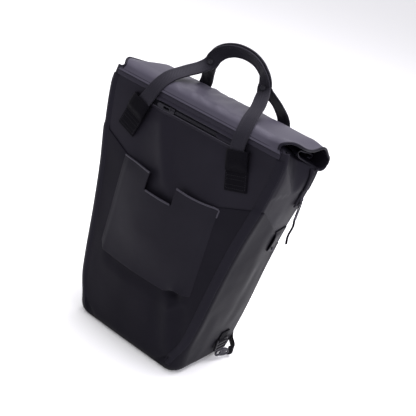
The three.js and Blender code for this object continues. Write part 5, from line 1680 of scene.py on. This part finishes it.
lock = rounded_box((LOCK_HEIGHT, LOCK_BAR, LOCK_THICKNESS), 1.1)
other_rail = rounded_box((LOCK_HEIGHT, LOCK_BAR, LOCK_THICKNESS), 1.1)
bmesh.ops.translate(lock, vec=(0, LOCK_WIDTH / 2 - LOCK_BAR / 2, 0), verts=lock.verts)
join_into(lock, other_rail, Matrix.Translation((0, LOCK_BAR / 2 - LOCK_WIDTH / 2, 0)))
for k in range(4):
    along = mix(-LOCK_HEIGHT / 2 + LOCK_BAR / 2, LOCK_HEIGHT / 2 - LOCK_BAR / 2, k / 3)
    thick = LOCK_THICKNESS * (0.8 if k in (1, 2) else 1.0)
    bar = rounded_box((LOCK_BAR, LOCK_WIDTH - 2, thick), 1.1)
    join_into(lock, bar, Matrix.Translation((along, 0, 0)))
stand(lock, lock_place, (0, 0, -1), (1, 0, 0))
finish_pair(lock, "lock", black_plastic, "black_plastic", "ladder_lock")

angles = [2 * math.pi * k / 28 for k in range(28)]
ring = [Vector((RING_RADIUS * math.cos(a), RING_RADIUS * math.sin(a), 0)) for a in angles]
hook = wire([p - Vector((HOOK_LENGTH * 0.28, 0, 0)) for p in ring], RING_BAR, 12, flat=BAR_FLAT)
arm = [Vector((x, y, 0)) for x, y in (
    (-5.0, 5.2), (1.0, 6.2), (7.0, 4.6), (11.5, 1.2), (14.4, -3.4), (12.2, -6.2), (7.0, -6.8),
    (0.0, -6.4), (-5.4, -5.0),
)]
arm_line = [through(arm, k / 40) for k in range(41)]
join_into(hook, wire(arm_line, ARM_BAR, 12, flat=BAR_FLAT, closed=False))
join_into(hook, rounded_box((12, 9, 2.0), 0.6), Matrix.Translation((3.5, 0, 0)))
stand(hook, hook_place, hook_along, (1, 0, 0))
finish_pair(hook, "hook", grey_plastic, "grey_plastic", "strap_hook")

threaded = rounded_box((LOCK_HEIGHT - 5, LACE_WIDTH, 2.2), 0.8)
stand(threaded, lock_place, (0, 0, -1), (1, 0, 0))
finish_pair(threaded, "threaded_webbing", webbing, "webbing")
print("lower fastenings made")


# %% [markdown]
# From the end of each shoulder strap a webbing goes down the back, turns round the bag's corner and ends
# at the hook. It is swept like the handles, through a few places whose outer side turns with the corner.
# A Shrinkwrap modifier could lay it on the cloth, but it would also press it into every fold.

# %% Webbing from the shoulder straps to the hooks
LACE_TURN_Z = 34.0
end = Vector(shoulder_rows[-1]["at"])
down = (end - Vector(shoulder_rows[-2]["at"])).normalized()
hook_end = hook_place + hook_along * (HOOK_LENGTH / 2 + 0.6)
low_width, low_depth = section_at(hook_end.z)[:2]
off = LAYER_TOP + LACE_THICKNESS / 2 + 1.5


def back_at(x, z):
    return Vector((x, flat_back(x, z) + off, z))


lace_rows = [
    (end - down * 6, (0, 1, 0)), (end + down * LACE_WIDTH / 2, (0, 1, 0)),
    (back_at(low_width * 0.9, LACE_TURN_Z + 22), (0, 1, 0)),
    (back_at(low_width * 0.95, LACE_TURN_Z), (0.2, 1, 0)),
    (Vector((low_width + off * 0.8, low_depth + off * 0.2, hook_end.z + 6)), (0.8, 0.8, 0)),
    (hook_end + hook_along * 9, (1, 0.3, 0)), (hook_end - hook_along * 4, (1, -0.1, 0)),
]
lace_table = [{"at": tuple(at), "face": face, "width": LACE_WIDTH * 0.75, "thick": LACE_THICKNESS}
              for at, face in lace_rows]
lace = strap_mesh(strap_frames(lace_table, 90), flat_outline(24))
finish_pair(lace, "lace", webbing, "webbing", "strap_webbing")
print("webbing made:", len(pieces), "pieces so far")

# %% [markdown]
# Two lines of stitches run along the roll's front edge, over the band that closes the bag's mouth. A
# dashed line in the cloth's colour would lie flat; small balls of thread stand off it as sewing does.

# %% Stitches of the mouth
MOUTH_SEAMS = (RIM_FRONT - 2.6, RIM_FRONT - 6.4)
reach = MOUTH_REACH - 4
mouth_lines = bmesh.new()
for z in MOUTH_SEAMS:
    places = [(on_front(mix(-reach, reach, k / MOUTH_CELLS), z, 1.6), Vector((0, -1, 0)))
              for k in range(MOUTH_CELLS + 1)]
    stitch_line(mouth_lines, places, size=(3.2, 0.7, 0.6), pitch=4.4)
finish(mouth_lines, "mouth_stitches", thread, "webbing", sharp=0)
print("mouth stitches made in", len(MOUTH_SEAMS), "lines")

# %% [markdown]
# The bag stands on a pale floor in soft light. A wide light hangs overhead, so that the roll, whose
# lighter colour also paints a highlight on it, is the lightest part, a weaker one stands on the right
# and gives the side its sheen, and the world fills in.
# One sun would be less work, but its hard shadow would hide the folds of the dark cloth. The world looks
# brighter to the camera than it is for the bag, which a Light Path node arranges, so the backdrop stays
# white in low views while the cloth stays dark.

# %% Floor
floor_bm = bmesh.new()
bmesh.ops.create_grid(floor_bm, x_segments=1, y_segments=1, size=9.0)
floor_mesh = bpy.data.meshes.new("floor")
floor_bm.to_mesh(floor_mesh)
floor_bm.free()
floor = bpy.data.objects.new("floor", floor_mesh)
bpy.context.scene.collection.objects.link(floor)
floor_finish, _, floor_shader = new_material("pale_floor", (0.86, 0.86, 0.86), 0.75, specular=0.2)
floor_shader.inputs["Emission Color"].default_value = (1, 1, 1, 1)
floor_shader.inputs["Emission Strength"].default_value = 0.14
floor_mesh.materials.append(floor_finish)

print("floor made")

# %% [markdown]
# All lights look at the bag's middle. Their powers were judged beside the photograph, and the side
# light is tinted violet, as the sheen on the bag's right side is.

# %% Lights and world
MIDDLE = Vector((0.0, 0.0, 0.25))
OVERHEAD_TINT, SIDE_TINT = (0.985, 0.965, 1.0), (0.74, 0.70, 1.0)
WORLD_TINT, WORLD_STRENGTH, WORLD_SEEN = (0.96, 0.95, 1.0, 1), 0.78, 0.32


def area_light(name, at, size, power, color=(1, 1, 1)):
    """A rectangular light that looks at the bag's middle."""
    data = bpy.data.lights.new(name, "AREA")
    data.shape = "RECTANGLE"
    data.size, data.size_y = size
    data.energy = power
    data.color = color
    lamp = bpy.data.objects.new(name, data)
    lamp.location = at
    lamp.rotation_euler = (MIDDLE - Vector(at)).to_track_quat("-Z", "Y").to_euler()
    bpy.context.scene.collection.objects.link(lamp)


area_light("overhead", (0.1, 0.5, 2.1), (1.8, 1.5), 64, OVERHEAD_TINT)
area_light("side", (2.1, 0.7, 1.2), (1.1, 1.3), 8, SIDE_TINT)
area_light("front", (0.5, -1.3, 1.9), (0.8, 0.8), 11)

world = bpy.data.worlds.new("studio")
bpy.context.scene.world = world
world.use_nodes = True
sky = world.node_tree.nodes["Background"]
sky.inputs["Color"].default_value = WORLD_TINT
seen = world.node_tree.nodes.new("ShaderNodeLightPath")
strength = world.node_tree.nodes.new("ShaderNodeMath")
strength.operation = "MULTIPLY_ADD"
strength.inputs[1].default_value = WORLD_SEEN
strength.inputs[2].default_value = WORLD_STRENGTH
world.node_tree.links.new(seen.outputs["Is Camera Ray"], strength.inputs[0])
world.node_tree.links.new(strength.outputs[0], sky.inputs["Strength"])
bpy.context.scene.view_settings.view_transform = "Standard"
print("three lights and a pale world")

# %% [markdown]
# The camera stands where the photograph was taken from, as the two ridges of the bag and its upright
# edges show, and looks at the bag's middle with a longer lens. A camera tracked to an empty would be
# level; here its three axes are written out, so that it keeps the photograph's slight tilt.

# %% Camera
RIGHT = Vector((0.6793, 0.70249, 0.21226))
DOWN = Vector((0.42422, -0.13988, -0.89469))
AHEAD = Vector((-0.59882, 0.69781, -0.39303))
AIM = (0.164, 0.058)
aim = (AHEAD + RIGHT * AIM[0] + DOWN * AIM[1]).normalized()
turn = AHEAD.rotation_difference(aim).to_matrix()
view = turn @ Matrix((RIGHT, -DOWN, -AHEAD)).transposed()
lens = bpy.data.cameras.new("camera")
lens.lens = 78.0
lens.sensor_width = 36.0
camera = bpy.data.objects.new("camera", lens)
camera.matrix_world = Matrix.Translation((0.70037, -1.16319, 0.84996)) @ view.to_4x4()
bpy.context.scene.collection.objects.link(camera)
bpy.context.scene.camera = camera
print("camera", [round(c, 3) for c in camera.location], "looking down at",
      round(math.degrees(math.asin(-aim.z)), 1), "degrees")

# %% [markdown]
# Last, the view layer is updated, because sizes that are read before that can still be old ones.

# %% The end of the build
bpy.context.view_layer.update()
